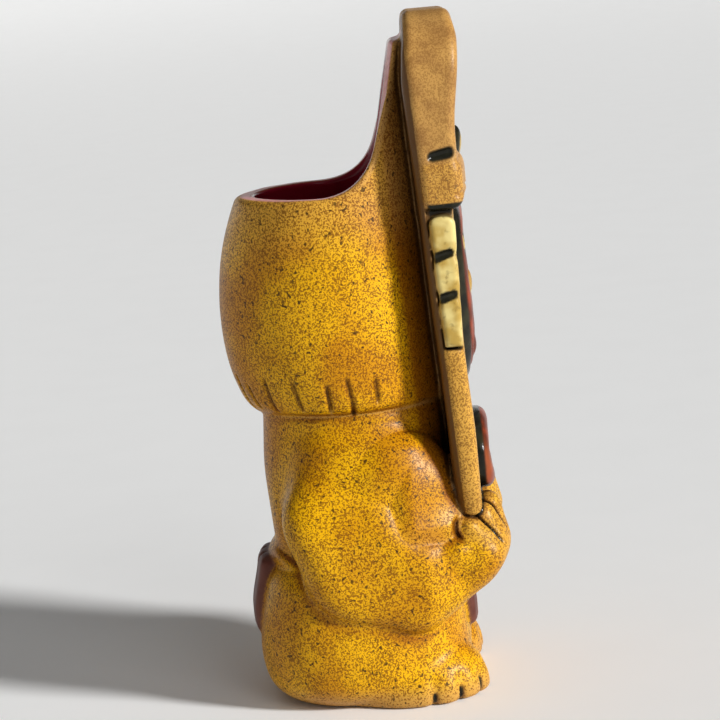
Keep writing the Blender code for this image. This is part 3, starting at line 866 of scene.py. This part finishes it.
CORNERS = [(i, j, k) for i in (0, 1) for j in (0, 1) for k in (0, 1)]


def lattice():
    """Origin and size of the sculpting grid, a little bigger than the object."""
    low, high = np.array(CAD_BOX[0]) * MM, np.array(CAD_BOX[1]) * MM
    step = PITCH * COARSE
    low = low - MARGIN * step
    count = np.ceil((high + MARGIN * step - low) / step).astype(int)
    return low.astype(np.float32), count


def sample_lattice():
    """Distance and piece number at each lattice point that is near or inside the casting."""
    low, blocks = lattice()
    step = PITCH * COARSE
    index = np.stack(np.meshgrid(*[np.arange(n) for n in blocks], indexing="ij"), axis=-1)
    index = index.reshape(-1, 3)
    middles = (low + (index + 0.5) * step).astype(np.float32)
    rough, _ = evaluate(middles, False)
    reach = 0.5 * step * math.sqrt(3.0) * SLACK + 0.6
    active = index[rough < reach]
    size = blocks * COARSE + 1
    wanted = np.zeros(size, dtype=bool)
    span = range(COARSE + 1)
    for i in span:
        for j in span:
            for k in span:
                at_point = active * COARSE + (i, j, k)
                wanted[at_point[:, 0], at_point[:, 1], at_point[:, 2]] = True
    places = np.argwhere(wanted)
    values, numbers = evaluate((low + places * PITCH).astype(np.float32), True)
    dist = np.full(size, PITCH, dtype=np.float32)
    label = np.zeros(size, dtype=np.uint8)
    dist[wanted] = values
    label[wanted] = np.where(values < 0.0, numbers, 0)
    return low, dist, label


def cell_vertices(low, dist, label):
    """One vertex for each cell in which the piece number changes, and whether it is on the skin."""
    shape = np.array(label.shape) - 1
    first = label[:-1, :-1, :-1]
    mixed = np.zeros(shape, dtype=bool)
    for i, j, k in CORNERS:
        mixed |= label[i:i + shape[0], j:j + shape[1], k:k + shape[2]] != first
    cells = np.argwhere(mixed)
    number = np.full(shape, -1, dtype=np.int32)
    number[mixed] = np.arange(len(cells), dtype=np.int32)

    skin_sum = np.zeros((len(cells), 3), dtype=np.float32)
    skin_count = np.zeros(len(cells), dtype=np.float32)
    seam_sum = np.zeros((len(cells), 3), dtype=np.float32)
    seam_count = np.zeros(len(cells), dtype=np.float32)
    for axis in range(3):
        others = [a for a in range(3) if a != axis]
        for u in (0, 1):
            for v in (0, 1):
                start = np.zeros(3, dtype=int)
                start[others[0]] = u
                start[others[1]] = v
                end = start.copy()
                end[axis] = 1
                a = tuple((cells + start).T)
                b = tuple((cells + end).T)
                la, lb = label[a], label[b]
                da, db = dist[a], dist[b]
                change = la != lb
                crosses = change & ((la == 0) | (lb == 0))
                t = np.where(crosses, da / np.where(da == db, 1.0, da - db), 0.5)
                t = np.clip(t, 0.0, 1.0)
                where = np.tile(start.astype(np.float32), (len(cells), 1))
                where[:, axis] = t
                skin_sum += where * crosses[:, None]
                skin_count += crosses
                seam_sum += where * change[:, None]
                seam_count += change
    on_skin = skin_count > 0
    local = np.where(on_skin[:, None], skin_sum / np.maximum(skin_count, 1.0)[:, None],
                     seam_sum / np.maximum(seam_count, 1.0)[:, None])
    points = low + (cells + local) * PITCH
    return points.astype(np.float32), on_skin, number


def label_quads(label, number):
    """The quads between unlike lattice points, with the piece numbers on their two sides."""
    corners, below, above = [], [], []
    for axis in range(3):
        u, v = [(1, 2), (2, 0), (0, 1)][axis]
        high = [slice(None)] * 3
        low = [slice(None)] * 3
        low[axis] = slice(0, -1)
        high[axis] = slice(1, None)
        edges = np.argwhere(label[tuple(low)] != label[tuple(high)])
        inside = (edges[:, u] > 0) & (edges[:, v] > 0)
        inside &= (edges[:, u] < label.shape[u] - 1) & (edges[:, v] < label.shape[v] - 1)
        edges = edges[inside]
        quad = np.empty((len(edges), 4), dtype=np.int32)
        for i, (du, dv) in enumerate(((-1, -1), (0, -1), (0, 0), (-1, 0))):
            cell = edges.copy()
            cell[:, u] += du
            cell[:, v] += dv
            quad[:, i] = number[tuple(cell.T)]
        far = edges.copy()
        far[:, axis] += 1
        corners.append(quad)
        below.append(label[tuple(edges.T)])
        above.append(label[tuple(far.T)])
    return np.concatenate(corners), np.concatenate(below), np.concatenate(above)


def gradient(points, reach):
    """Unit direction in which the surface distance grows."""
    slope = np.empty_like(points)
    for axis in range(3):
        shift = np.zeros(3, dtype=np.float32)
        shift[axis] = reach
        slope[:, axis] = evaluate(points + shift, False)[0] - evaluate(points - shift, False)[0]
    return slope / np.maximum(np.linalg.norm(slope, axis=1), 1e-6)[:, None]


def settle(points):
    """Move skin vertices on to the surface, and return them with their normals."""
    limit = 0.5 * PITCH
    normal = gradient(points, 0.3)
    start = points.copy()
    for _ in range(2):
        offset = np.clip(evaluate(points, False)[0], -limit, limit)
        points = points - normal * offset[:, None]
    points = start + np.clip(points - start, -limit, limit)
    return points, gradient(points, 0.25)


# ---------------------------------------------------------------------------
# Paint: what the glaze needs to know about the shape, and the painted shade on the mask's rear
# chamfer, one value for each vertex
# ---------------------------------------------------------------------------

DARK = ("mask_ground",)
CREAM = ("forehead_panel", "forehead_boss", "teeth", "left_eye", "left_upper_bead",
         "left_middle_bead", "left_lower_bead")
TERRACOTTA = ("nose", "lips", "left_cheek")
CLOTH = ("loincloth_back", "loincloth_front")
TAN = ("mask_plate",)
MUSTARD = ("head_bowl", "torso_shell", "hip_shell", "waist_band", "brow_bar", "left_arm",
           "left_hand", "left_leg", "left_foot")
BLEED = 0.32                                 # how far one glaze runs into the next
CREASE_REACH = 2.2                           # how far out of the surface a crease is felt
HOLLOW_REACH = 7.0                           # how far out a broad hollow is felt
EDGE_REACH = 1.6                             # how far into the clay a sharp edge is felt


def distances_for_paint(points):
    """Each piece's own distance at the skin's vertices, and those of the painted details."""
    own = {}
    for start in range(0, len(points), CHUNK):
        part = points[start:start + CHUNK]
        x, y, z = part.T
        d = pieces_of(part)
        d["inner_glaze"] = cavity(x, y, z)
        d["base_disc"] = clay_disc(x, y, z, 1.0)
        d["pupil"] = only_where(y < -25.0, folded(part), lambda s: eye(s)[2])
        d["slot"] = only_where(y < -20.0, part, brow_slot)
        d["band"] = only_where(y < -33.0, part, nose_band)
        d["notch"] = only_where((z > 120.0) & (z < 156.0), part, bead_notches)
        d["niche"] = only_where(y < -20.0, part, lambda s: niche(*s.T))
        for name, value in d.items():
            own.setdefault(name, []).append(value)
    return {name: np.concatenate(value) for name, value in own.items()}


def glaze_shares(own):
    """How much of each ground colour a vertex wears, running a little into its neighbours."""
    stack = np.stack([np.min([own[name] for name in names], axis=0)
                      for names in (DARK, CREAM, TERRACOTTA, CLOTH, TAN, MUSTARD)])
    best = stack.min(axis=0)
    weight = np.exp(-np.clip((stack - best) / BLEED, 0.0, 40.0))
    weight = weight / weight.sum(axis=0)
    return dict(zip(("dark", "cream", "terracotta", "cloth", "tan"), weight[:5]))


def ink(own, q, paint, inked):
    """Where dark glaze lies: the field, the incised lines and the gaps between raised parts."""
    x, y, z = q.T
    in_field = (y < -29.0) & (z > 60.0) & (z < 160.0)
    face_rim = np.where(own["left_cheek"] < 1.0, ramp(-4.0, -2.8, face_outline(x, z)), 0.0)
    beside_lips = ramp(-2.0, -1.0, mouth_outline(q, 0.0)) * ramp(-38.0, -37.2, y)
    beside_lips = np.where(own["lips"] < 0.8, beside_lips, 0.0)
    held = np.minimum(own["mask_plate"], own["lips"])
    grip = ramp(1.0, 0.4, own["left_hand"]) * ramp(1.0, 0.4, held) * ramp(-31.0, -33.4, y)
    beside_nose = ramp(1.0, 0.4, np.abs(own["nose"] - own["left_cheek"]))
    beside_nose = beside_nose * ramp(0.9, 0.5, own["nose"]) * ramp(-37.6, -36.9, y)
    beside_nose = beside_nose * ramp(100.0, 106.0, z) * (z < 160.0)
    round_boss = ramp(0.5, 0.75, np.hypot(x / BOSS_RADII[0], (z - BOSS_LEVEL) / BOSS_RADII[2]))
    round_boss = round_boss * ramp(0.7, 0.3, own["forehead_boss"])
    recess = ramp(0.5, 0.1, own["niche"]) * (1.0 - paint["cream"])
    recess = recess * ramp(-0.1, -0.6, y - mask_edge(z))
    pits = ramp(0.6, 0.0, np.minimum(own["pupil"], own["slot"]))
    return np.maximum.reduce([paint["dark"], beside_nose * in_field, round_boss, recess,
                              face_rim * in_field, beside_lips * in_field, pits,
                              ramp(0.25, 0.7, inked), grip, ramp(0.75, 0.4, own["notch"])])


def room(points, normals, reach):
    """Distance gained along the normal: 1 over a flat surface and less in a hollow."""
    return evaluate(points + normals * reach, False)[0] / reach


def paint_of(points, normals):
    """Weights of each glaze, how deep or how sharp the surface is, and the painted shade on the
    mask's rear chamfer.
    """
    own = distances_for_paint(points)
    paint = glaze_shares(own)
    hair, inked = cuts(points)
    q = folded(points)
    y, z = q[:, 1], q[:, 2]
    banded = ramp(0.35, -0.05, own["band"])
    black = ink(own, q, paint, inked) * (1.0 - banded)
    paint["cream"] = np.maximum(paint["cream"], banded)
    paint["terracotta"] = paint["terracotta"] * (1.0 - banded)
    into = own["inner_glaze"]
    paint["dark"] = black * (into >= 2.0)
    paint["hair"] = hair
    bare_skin = np.maximum(0.6 * ramp(0.8, 0.0, own["left_hand"]) * ramp(-27.0, -31.0, y),
                           0.55 * ramp(0.5, 0.0, own["brow_bar"]))
    paint["tan"] = np.maximum(paint["tan"], bare_skin)
    in_cup = np.where(z > RIM - 6.0, 1.0, ramp(4.0, 2.0, into))
    paint["burgundy"] = ramp(2.2, 0.6, into) * in_cup
    on_rim = ramp(5.6, 4.6, into) * ramp(RIM - 3.4, RIM - 1.2, z)
    paint["pink"] = on_rim * (1.0 - paint["burgundy"])
    paint["clay"] = ramp(0.5, -0.3, own["base_disc"])
    # painted shade: the mask's rear chamfer and its back take a dark weight in the crease channel,
    # standing in for the shade that falls there
    chamfer = ramp(0.1, 0.7, y - mask_edge(z)) * (own["mask_plate"] < 0.6)
    crease = np.clip(1.0 - room(points, normals, CREASE_REACH), 0.0, 1.0)
    paint["crease"] = np.maximum(crease, 0.80 * chamfer)
    paint["hollow"] = np.clip(1.0 - room(points, normals, HOLLOW_REACH), 0.0, 1.0)
    paint["edge"] = np.clip(1.0 - room(points, normals, -EDGE_REACH), 0.0, 1.0)
    return paint


# paint_c's crease channel holds glaze pooled in creases and also the painted shade on the mask's
# rear chamfer
PACKED = {"paint_a": ("dark", "cream", "terracotta"), "paint_b": ("cloth", "clay", "tan"),
          "paint_c": ("burgundy", "pink", "crease"), "paint_d": ("edge", "hollow", "hair")}


def build_piece(name, points, quads, normals, paint, on_skin):
    """One named mesh object from its share of the skin."""
    used = np.unique(quads)
    renumber = np.full(len(points), -1, dtype=np.int32)
    renumber[used] = np.arange(len(used), dtype=np.int32)
    mesh = bpy.data.meshes.new(name)
    mesh.vertices.add(len(used))
    mesh.vertices.foreach_set("co", (points[used] / MM).ravel())
    mesh.loops.add(4 * len(quads))
    mesh.loops.foreach_set("vertex_index", renumber[quads].ravel())
    mesh.polygons.add(len(quads))
    mesh.polygons.foreach_set("loop_start", np.arange(0, 4 * len(quads), 4, dtype=np.int32))
    mesh.polygons.foreach_set("use_smooth", np.ones(len(quads), dtype=bool))
    mesh.update(calc_edges=True)
    mesh.validate()
    for attribute, channels in PACKED.items():
        layer = mesh.attributes.new(attribute, "FLOAT_COLOR", "POINT")
        colour = np.ones((len(used), 4), dtype=np.float32)
        for i, channel in enumerate(channels):
            colour[:, i] = paint[channel][used]
        layer.data.foreach_set("color", colour.ravel())
    if len(mesh.vertices) == len(used):
        own = np.zeros(3 * len(used), dtype=np.float32)
        mesh.vertices.foreach_get("normal", own)
        own = own.reshape(-1, 3)
        own[on_skin[used]] = normals[used][on_skin[used]]
        mesh.normals_split_custom_set_from_vertices(own)
    obj = bpy.data.objects.new(name, mesh)
    bpy.context.scene.collection.objects.link(obj)
    return obj


def sculpt():
    """Every piece of the casting, by its node's name."""
    low, dist, label = sample_lattice()
    points, on_skin, number = cell_vertices(low, dist, label)
    quads, below, above = label_quads(label, number)
    normals = np.zeros_like(points)
    points[on_skin], normals[on_skin] = settle(points[on_skin])
    skin_paint = paint_of(points[on_skin], normals[on_skin])
    paint = {}
    for name, value in skin_paint.items():
        paint[name] = np.zeros(len(points), dtype=np.float32)
        paint[name][on_skin] = value
    pieces = {}
    for name in NAMES[1:]:
        outward = quads[below == NUMBER[name]]
        inward = quads[above == NUMBER[name]][:, ::-1]
        own = np.concatenate((outward, inward))
        if len(own):
            pieces[name] = build_piece(name, points, own, normals, paint, on_skin)
        else:
            print("no skin for", name)
    return pieces


# ---------------------------------------------------------------------------
# Glaze
# ---------------------------------------------------------------------------

def rgb(r, g, b):
    """Linear colour from the eight-bit sRGB values that it should look like."""
    out = []
    for value in (r, g, b):
        c = value / 255.0
        out.append(c / 12.92 if c <= 0.04045 else ((c + 0.055) / 1.055) ** 2.4)
    return (*out, 1.0)


class Graph:
    """Short-hand for a material's node tree."""

    def __init__(self, name):
        """Start a material with an empty node tree."""
        self.material = bpy.data.materials.new(name)
        self.material.use_nodes = True
        self.tree = self.material.node_tree
        self.tree.nodes.clear()

    def node(self, kind, **values):
        """A new node with those properties."""
        node = self.tree.nodes.new(kind)
        for key, value in values.items():
            setattr(node, key, value)
        return node

    def feed(self, socket, value):
        """Link an output to a socket, or set the socket's own value."""
        if isinstance(value, bpy.types.NodeSocket):
            self.tree.links.new(value, socket)
        else:
            socket.default_value = value

    def math(self, operation, a, b=0.0, clamp=False):
        """One arithmetic step."""
        node = self.node("ShaderNodeMath", operation=operation, use_clamp=clamp)
        self.feed(node.inputs[0], a)
        self.feed(node.inputs[1], b)
        return node.outputs[0]

    def remap(self, value, low, high, to_low=0.0, to_high=1.0):
        """Smooth step of a value between two limits."""
        node = self.node("ShaderNodeMapRange", interpolation_type="SMOOTHSTEP")
        for socket, entry in zip(node.inputs, (value, low, high, to_low, to_high)):
            self.feed(socket, entry)
        return node.outputs["Result"]

    def mix(self, a, b, factor):
        """Colour a drawn towards colour b."""
        node = self.node("ShaderNodeMix", data_type="RGBA")
        self.feed(node.inputs["Factor"], factor)
        self.feed(node.inputs[6], a)
        self.feed(node.inputs[7], b)
        return node.outputs[2]

    def mix_value(self, a, b, factor):
        """Number a drawn towards number b."""
        node = self.node("ShaderNodeMix", data_type="FLOAT")
        for socket, value in ((0, factor), (2, a), (3, b)):
            self.feed(node.inputs[socket], value)
        return node.outputs[0]

    def tint(self, colour, target, weight, strength):
        """A colour drawn towards an sRGB target by a share of a weight."""
        return self.mix(colour, rgb(*target), self.math("MULTIPLY", weight, strength))

    def mottled(self, one, other, cloud, low, high):
        """Two sRGB colours that drift into each other with a noise."""
        return self.mix(rgb(*one), rgb(*other), self.remap(cloud, low, high))

    def channels(self, attribute):
        """The three painted weights in a vertex attribute."""
        source = self.node("ShaderNodeAttribute", attribute_name=attribute)
        split = self.node("ShaderNodeSeparateColor")
        self.feed(split.inputs[0], source.outputs["Color"])
        return split.outputs[:3]

    def noise(self, place, size, detail=2.0, roughness=0.5):
        """Noise whose features are about that many millimetres across."""
        node = self.node("ShaderNodeTexNoise")
        self.feed(node.inputs["Vector"], place)
        node.inputs["Scale"].default_value = MM / size
        node.inputs["Detail"].default_value = detail
        node.inputs["Roughness"].default_value = roughness
        return node.outputs["Fac"]

    def place(self):
        """The point being shaded, in metres."""
        return self.node("ShaderNodeTexCoord").outputs["Object"]

    def surface(self, shader):
        """Make a shader the material's surface."""
        out = self.node("ShaderNodeOutputMaterial")
        self.feed(out.inputs["Surface"], shader.outputs[0])


def glaze(name):
    """Reactive glaze over stoneware: it runs into creases and thins to tan on edges; the crease
    weight also darkens the mask's rear chamfer with painted shade.
    """
    g = Graph(name)
    place = g.place()
    dark, cream, terracotta = g.channels("paint_a")
    cloth, clay, tan = g.channels("paint_b")
    burgundy, pink, crease = g.channels("paint_c")
    edge, hollow, stroke = g.channels("paint_d")
    level = g.node("ShaderNodeSeparateXYZ")
    g.feed(level.inputs[0], place)
    low = g.remap(level.outputs[2], 0.010, 0.002)

    cloud = g.noise(place, 26.0)
    patch = g.noise(place, 7.0, 2.5)
    grain = g.noise(place, 0.68, 2.0, 0.7)
    fine = g.noise(place, 0.42, 1.0)
    spot = g.noise(place, 1.25, 0.0)
    break_up = g.noise(place, 2.2, 3.0)

    # mustard, with a brown granular speckle that thins out over the edges
    thin = g.math("MAXIMUM", g.remap(edge, 0.22, 0.62), low)
    pooled = g.remap(hollow, 0.14, 0.60)
    gold = g.mottled((230, 172, 10), (198, 134, 6), cloud, 0.38, 0.68)
    gold = g.tint(gold, (146, 82, 8), pooled, 0.85)
    gold = g.tint(gold, (176, 132, 76), thin, 0.75)
    pale = g.remap(level.outputs[2], (RIM - 24.0) / MM, (RIM + 4.0) / MM, 0.0, 0.5)
    gold = g.mix(gold, rgb(206, 156, 84), pale)
    cover = g.math("ADD", g.remap(patch, 0.3, 0.7, 0.480, 0.450), g.math("MULTIPLY", thin, 0.05))
    both = g.math("ADD", g.math("MULTIPLY", grain, 0.65), g.math("MULTIPLY", fine, 0.35))
    speck = g.remap(g.math("SUBTRACT", both, cover), 0.0, 0.09)
    gold = g.tint(gold, (104, 54, 4), speck, 0.80)
    gold = g.tint(gold, (40, 24, 10), g.remap(spot, 0.71, 0.77), 0.8)
    # dark glaze pooled in creases, and painted shade where the crease weight marks the mask's rear
    # chamfer
    gold = g.mix(gold, rgb(60, 34, 10), g.remap(crease, 0.62, 1.0, 0.0, 0.85))
    gold = g.tint(gold, (70, 38, 8), stroke, 0.75)

    # tan body of the mask, yellower towards its foot, browner in its hollows and darkened by painted
    # shade on its rear chamfer
    bare = g.mottled((188, 142, 76), (164, 120, 64), patch, 0.35, 0.7)
    bare = g.tint(bare, (170, 138, 96), thin, 0.5)
    yellow = g.remap(level.outputs[2], 0.136, 0.108, 0.0, 0.7)
    bare = g.mix(bare, rgb(214, 160, 60), yellow)
    # painted shade on the rear chamfer comes in here through the crease weight, along with the
    # browner hollows
    bare = g.mix(bare, rgb(84, 56, 26), g.remap(crease, 0.35, 0.9))
    strength = g.math("ADD", 0.42, g.math("MULTIPLY", yellow, 0.4))
    bare = g.tint(bare, (104, 62, 20), speck, strength)

    # ivory, with brown stains in the carving
    ivory = g.mottled((218, 198, 128), (178, 146, 70), patch, 0.35, 0.60)
    stain = g.math("ADD", g.remap(crease, 0.2, 0.8), g.remap(break_up, 0.55, 0.72, 0.0, 0.5), True)
    ivory = g.tint(ivory, (84, 62, 28), stain, 0.85)

    # red-brown face
    red = g.mottled((134, 56, 28), (88, 36, 20), patch, 0.35, 0.68)
    red = g.mix(red, rgb(38, 22, 16), g.remap(crease, 0.3, 0.85))
    red = g.tint(red, (164, 92, 50), thin, 0.5)

    # dark field, maroon cloth, the two glazes of the cup and the bare clay
    black = g.mottled((26, 26, 20), (46, 44, 30), patch, 0.4, 0.7)
    maroon = g.mottled((108, 64, 52), (82, 44, 36), patch, 0.35, 0.7)
    maroon = g.mix(maroon, rgb(46, 26, 20), g.remap(crease, 0.4, 0.9))
    wine = g.mottled((140, 20, 40), (108, 12, 28), cloud, 0.4, 0.65)
    rose = g.mottled((206, 122, 116), (184, 96, 92), break_up, 0.4, 0.65)
    biscuit = g.mottled((202, 178, 146), (184, 158, 124), break_up, 0.4, 0.65)

    colour = g.mix(gold, bare, tan)
    for tint, weight in ((ivory, cream), (red, terracotta), (maroon, cloth), (black, dark),
                         (rose, pink), (wine, burgundy), (biscuit, clay)):
        colour = g.mix(colour, tint, weight)

    shader = g.node("ShaderNodeBsdfPrincipled")
    g.feed(shader.inputs["Base Color"], colour)
    rough = g.remap(both, 0.4, 0.6, 0.34, 0.46)
    for value, weight in ((0.30, terracotta), (0.36, cream), (0.44, cloth), (0.16, dark),
                          (0.30, pink), (0.14, burgundy), (0.86, clay)):
        rough = g.mix_value(rough, value, weight)
    g.feed(shader.inputs["Roughness"], rough)
    shader.inputs["IOR"].default_value = 1.35
    shader.inputs["Specular IOR Level"].default_value = 0.30

    relief = g.math("ADD", g.math("MULTIPLY", both, 0.10), g.math("MULTIPLY", patch, 0.25))
    bump = g.node("ShaderNodeBump")
    bump.inputs["Strength"].default_value = 0.5
    bump.inputs["Distance"].default_value = 0.001
    g.feed(bump.inputs["Height"], relief)
    g.feed(shader.inputs["Normal"], bump.outputs[0])
    g.surface(shader)
    return g.material


# ---------------------------------------------------------------------------
# Studio
# ---------------------------------------------------------------------------

def studio_floor():
    """A wide pale dish that rises behind the object on every side."""
    g = Graph("paper")
    shader = g.node("ShaderNodeBsdfPrincipled")
    tone = g.mix(rgb(250, 250, 249), rgb(247, 247, 246), g.noise(g.place(), 40.0))
    g.feed(shader.inputs["Base Color"], tone)
    shader.inputs["Roughness"].default_value = 0.8
    g.surface(shader)
    mesh = bpy.data.meshes.new("floor")
    edge_loops = [(2.0, 0.0), (4.5, 0.0), (6.0, 0.12), (7.5, 0.5), (9.0, 1.2), (10.0, 2.0)]
    around = 64
    points = [(0.0, 0.0, 0.0)]
    for radius, height in edge_loops:
        for i in range(around):
            turn = 2.0 * math.pi * i / around
            points.append((radius * math.cos(turn), radius * math.sin(turn), height))
    faces = [(0, 1 + i, 1 + (i + 1) % around) for i in range(around)]
    for ring in range(len(edge_loops) - 1):
        start = 1 + ring * around
        for i in range(around):
            after = (i + 1) % around
            faces.append((start + i, start + around + i, start + around + after, start + after))
    mesh.from_pydata(points, [], faces)
    mesh.shade_smooth()
    floor = bpy.data.objects.new("floor", mesh)
    bpy.context.scene.collection.objects.link(floor)
    mesh.materials.append(g.material)


def sun(name, towards, spread, strength):
    """Even light from a direction, softened over a wide angle."""
    light = bpy.data.lights.new(name, "SUN")
    light.angle = math.radians(spread)
    light.energy = strength
    obj = bpy.data.objects.new(name, light)
    obj.rotation_euler = Vector(towards).to_track_quat("Z", "Y").to_euler()
    bpy.context.scene.collection.objects.link(obj)


def studio_light():
    """A low key from the front right, and weak fill from the side, the top and the sky."""
    sun("key", (-0.45, -0.81, 0.38), 9.0, 4.4)
    sun("side", (-0.90, -0.55, 0.60), 30.0, 0.40)
    sun("top", (0.1, 0.1, 1.0), 60.0, 0.2)
    world = bpy.data.worlds.new("studio")
    world.use_nodes = True
    background = world.node_tree.nodes["Background"]
    background.inputs["Color"].default_value = (1.0, 1.0, 1.0, 1.0)
    background.inputs["Strength"].default_value = 0.08
    bpy.context.scene.world = world
    bpy.context.scene.view_settings.view_transform = "Standard"


def camera():
    """A long lens from the object's right side, rolled so that the mug leans a little."""
    azimuth, elevation, roll = (math.radians(a) for a in (271.0, 10.4, 5.0))
    target = Vector((0.0, 0.0, 0.108))
    distance = 0.75
    back = Vector((math.sin(azimuth) * math.cos(elevation), -math.cos(azimuth) * math.cos(elevation),
                   math.sin(elevation)))
    right = (-back).cross(Vector((0.0, 0.0, 1.0))).normalized()
    up = right.cross(-back)
    rolled_right = right * math.cos(roll) - up * math.sin(roll)
    rolled_up = right * math.sin(roll) + up * math.cos(roll)
    data = bpy.data.cameras.new("camera")
    data.sensor_width = 36.0
    data.lens = 114.6
    obj = bpy.data.objects.new("camera", data)
    turn = Matrix((rolled_right, rolled_up, back)).transposed()
    obj.matrix_world = Matrix.Translation(target + back * distance) @ turn.to_4x4()
    bpy.context.scene.collection.objects.link(obj)
    bpy.context.scene.camera = obj


SLOTS = {part["node"]: part["material_slot"] for part in frame["record"]["subparts"]}


def main():
    """Sculpt the pieces, glaze them and light them."""
    finishes = {}
    for name, piece in sculpt().items():
        slot = SLOTS[name]
        if slot not in finishes:
            finishes[slot] = glaze(slot)
        piece.data.materials.append(finishes[slot])
        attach(piece, "root")
        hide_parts(name)
    studio_floor()
    studio_light()
    camera()


main()
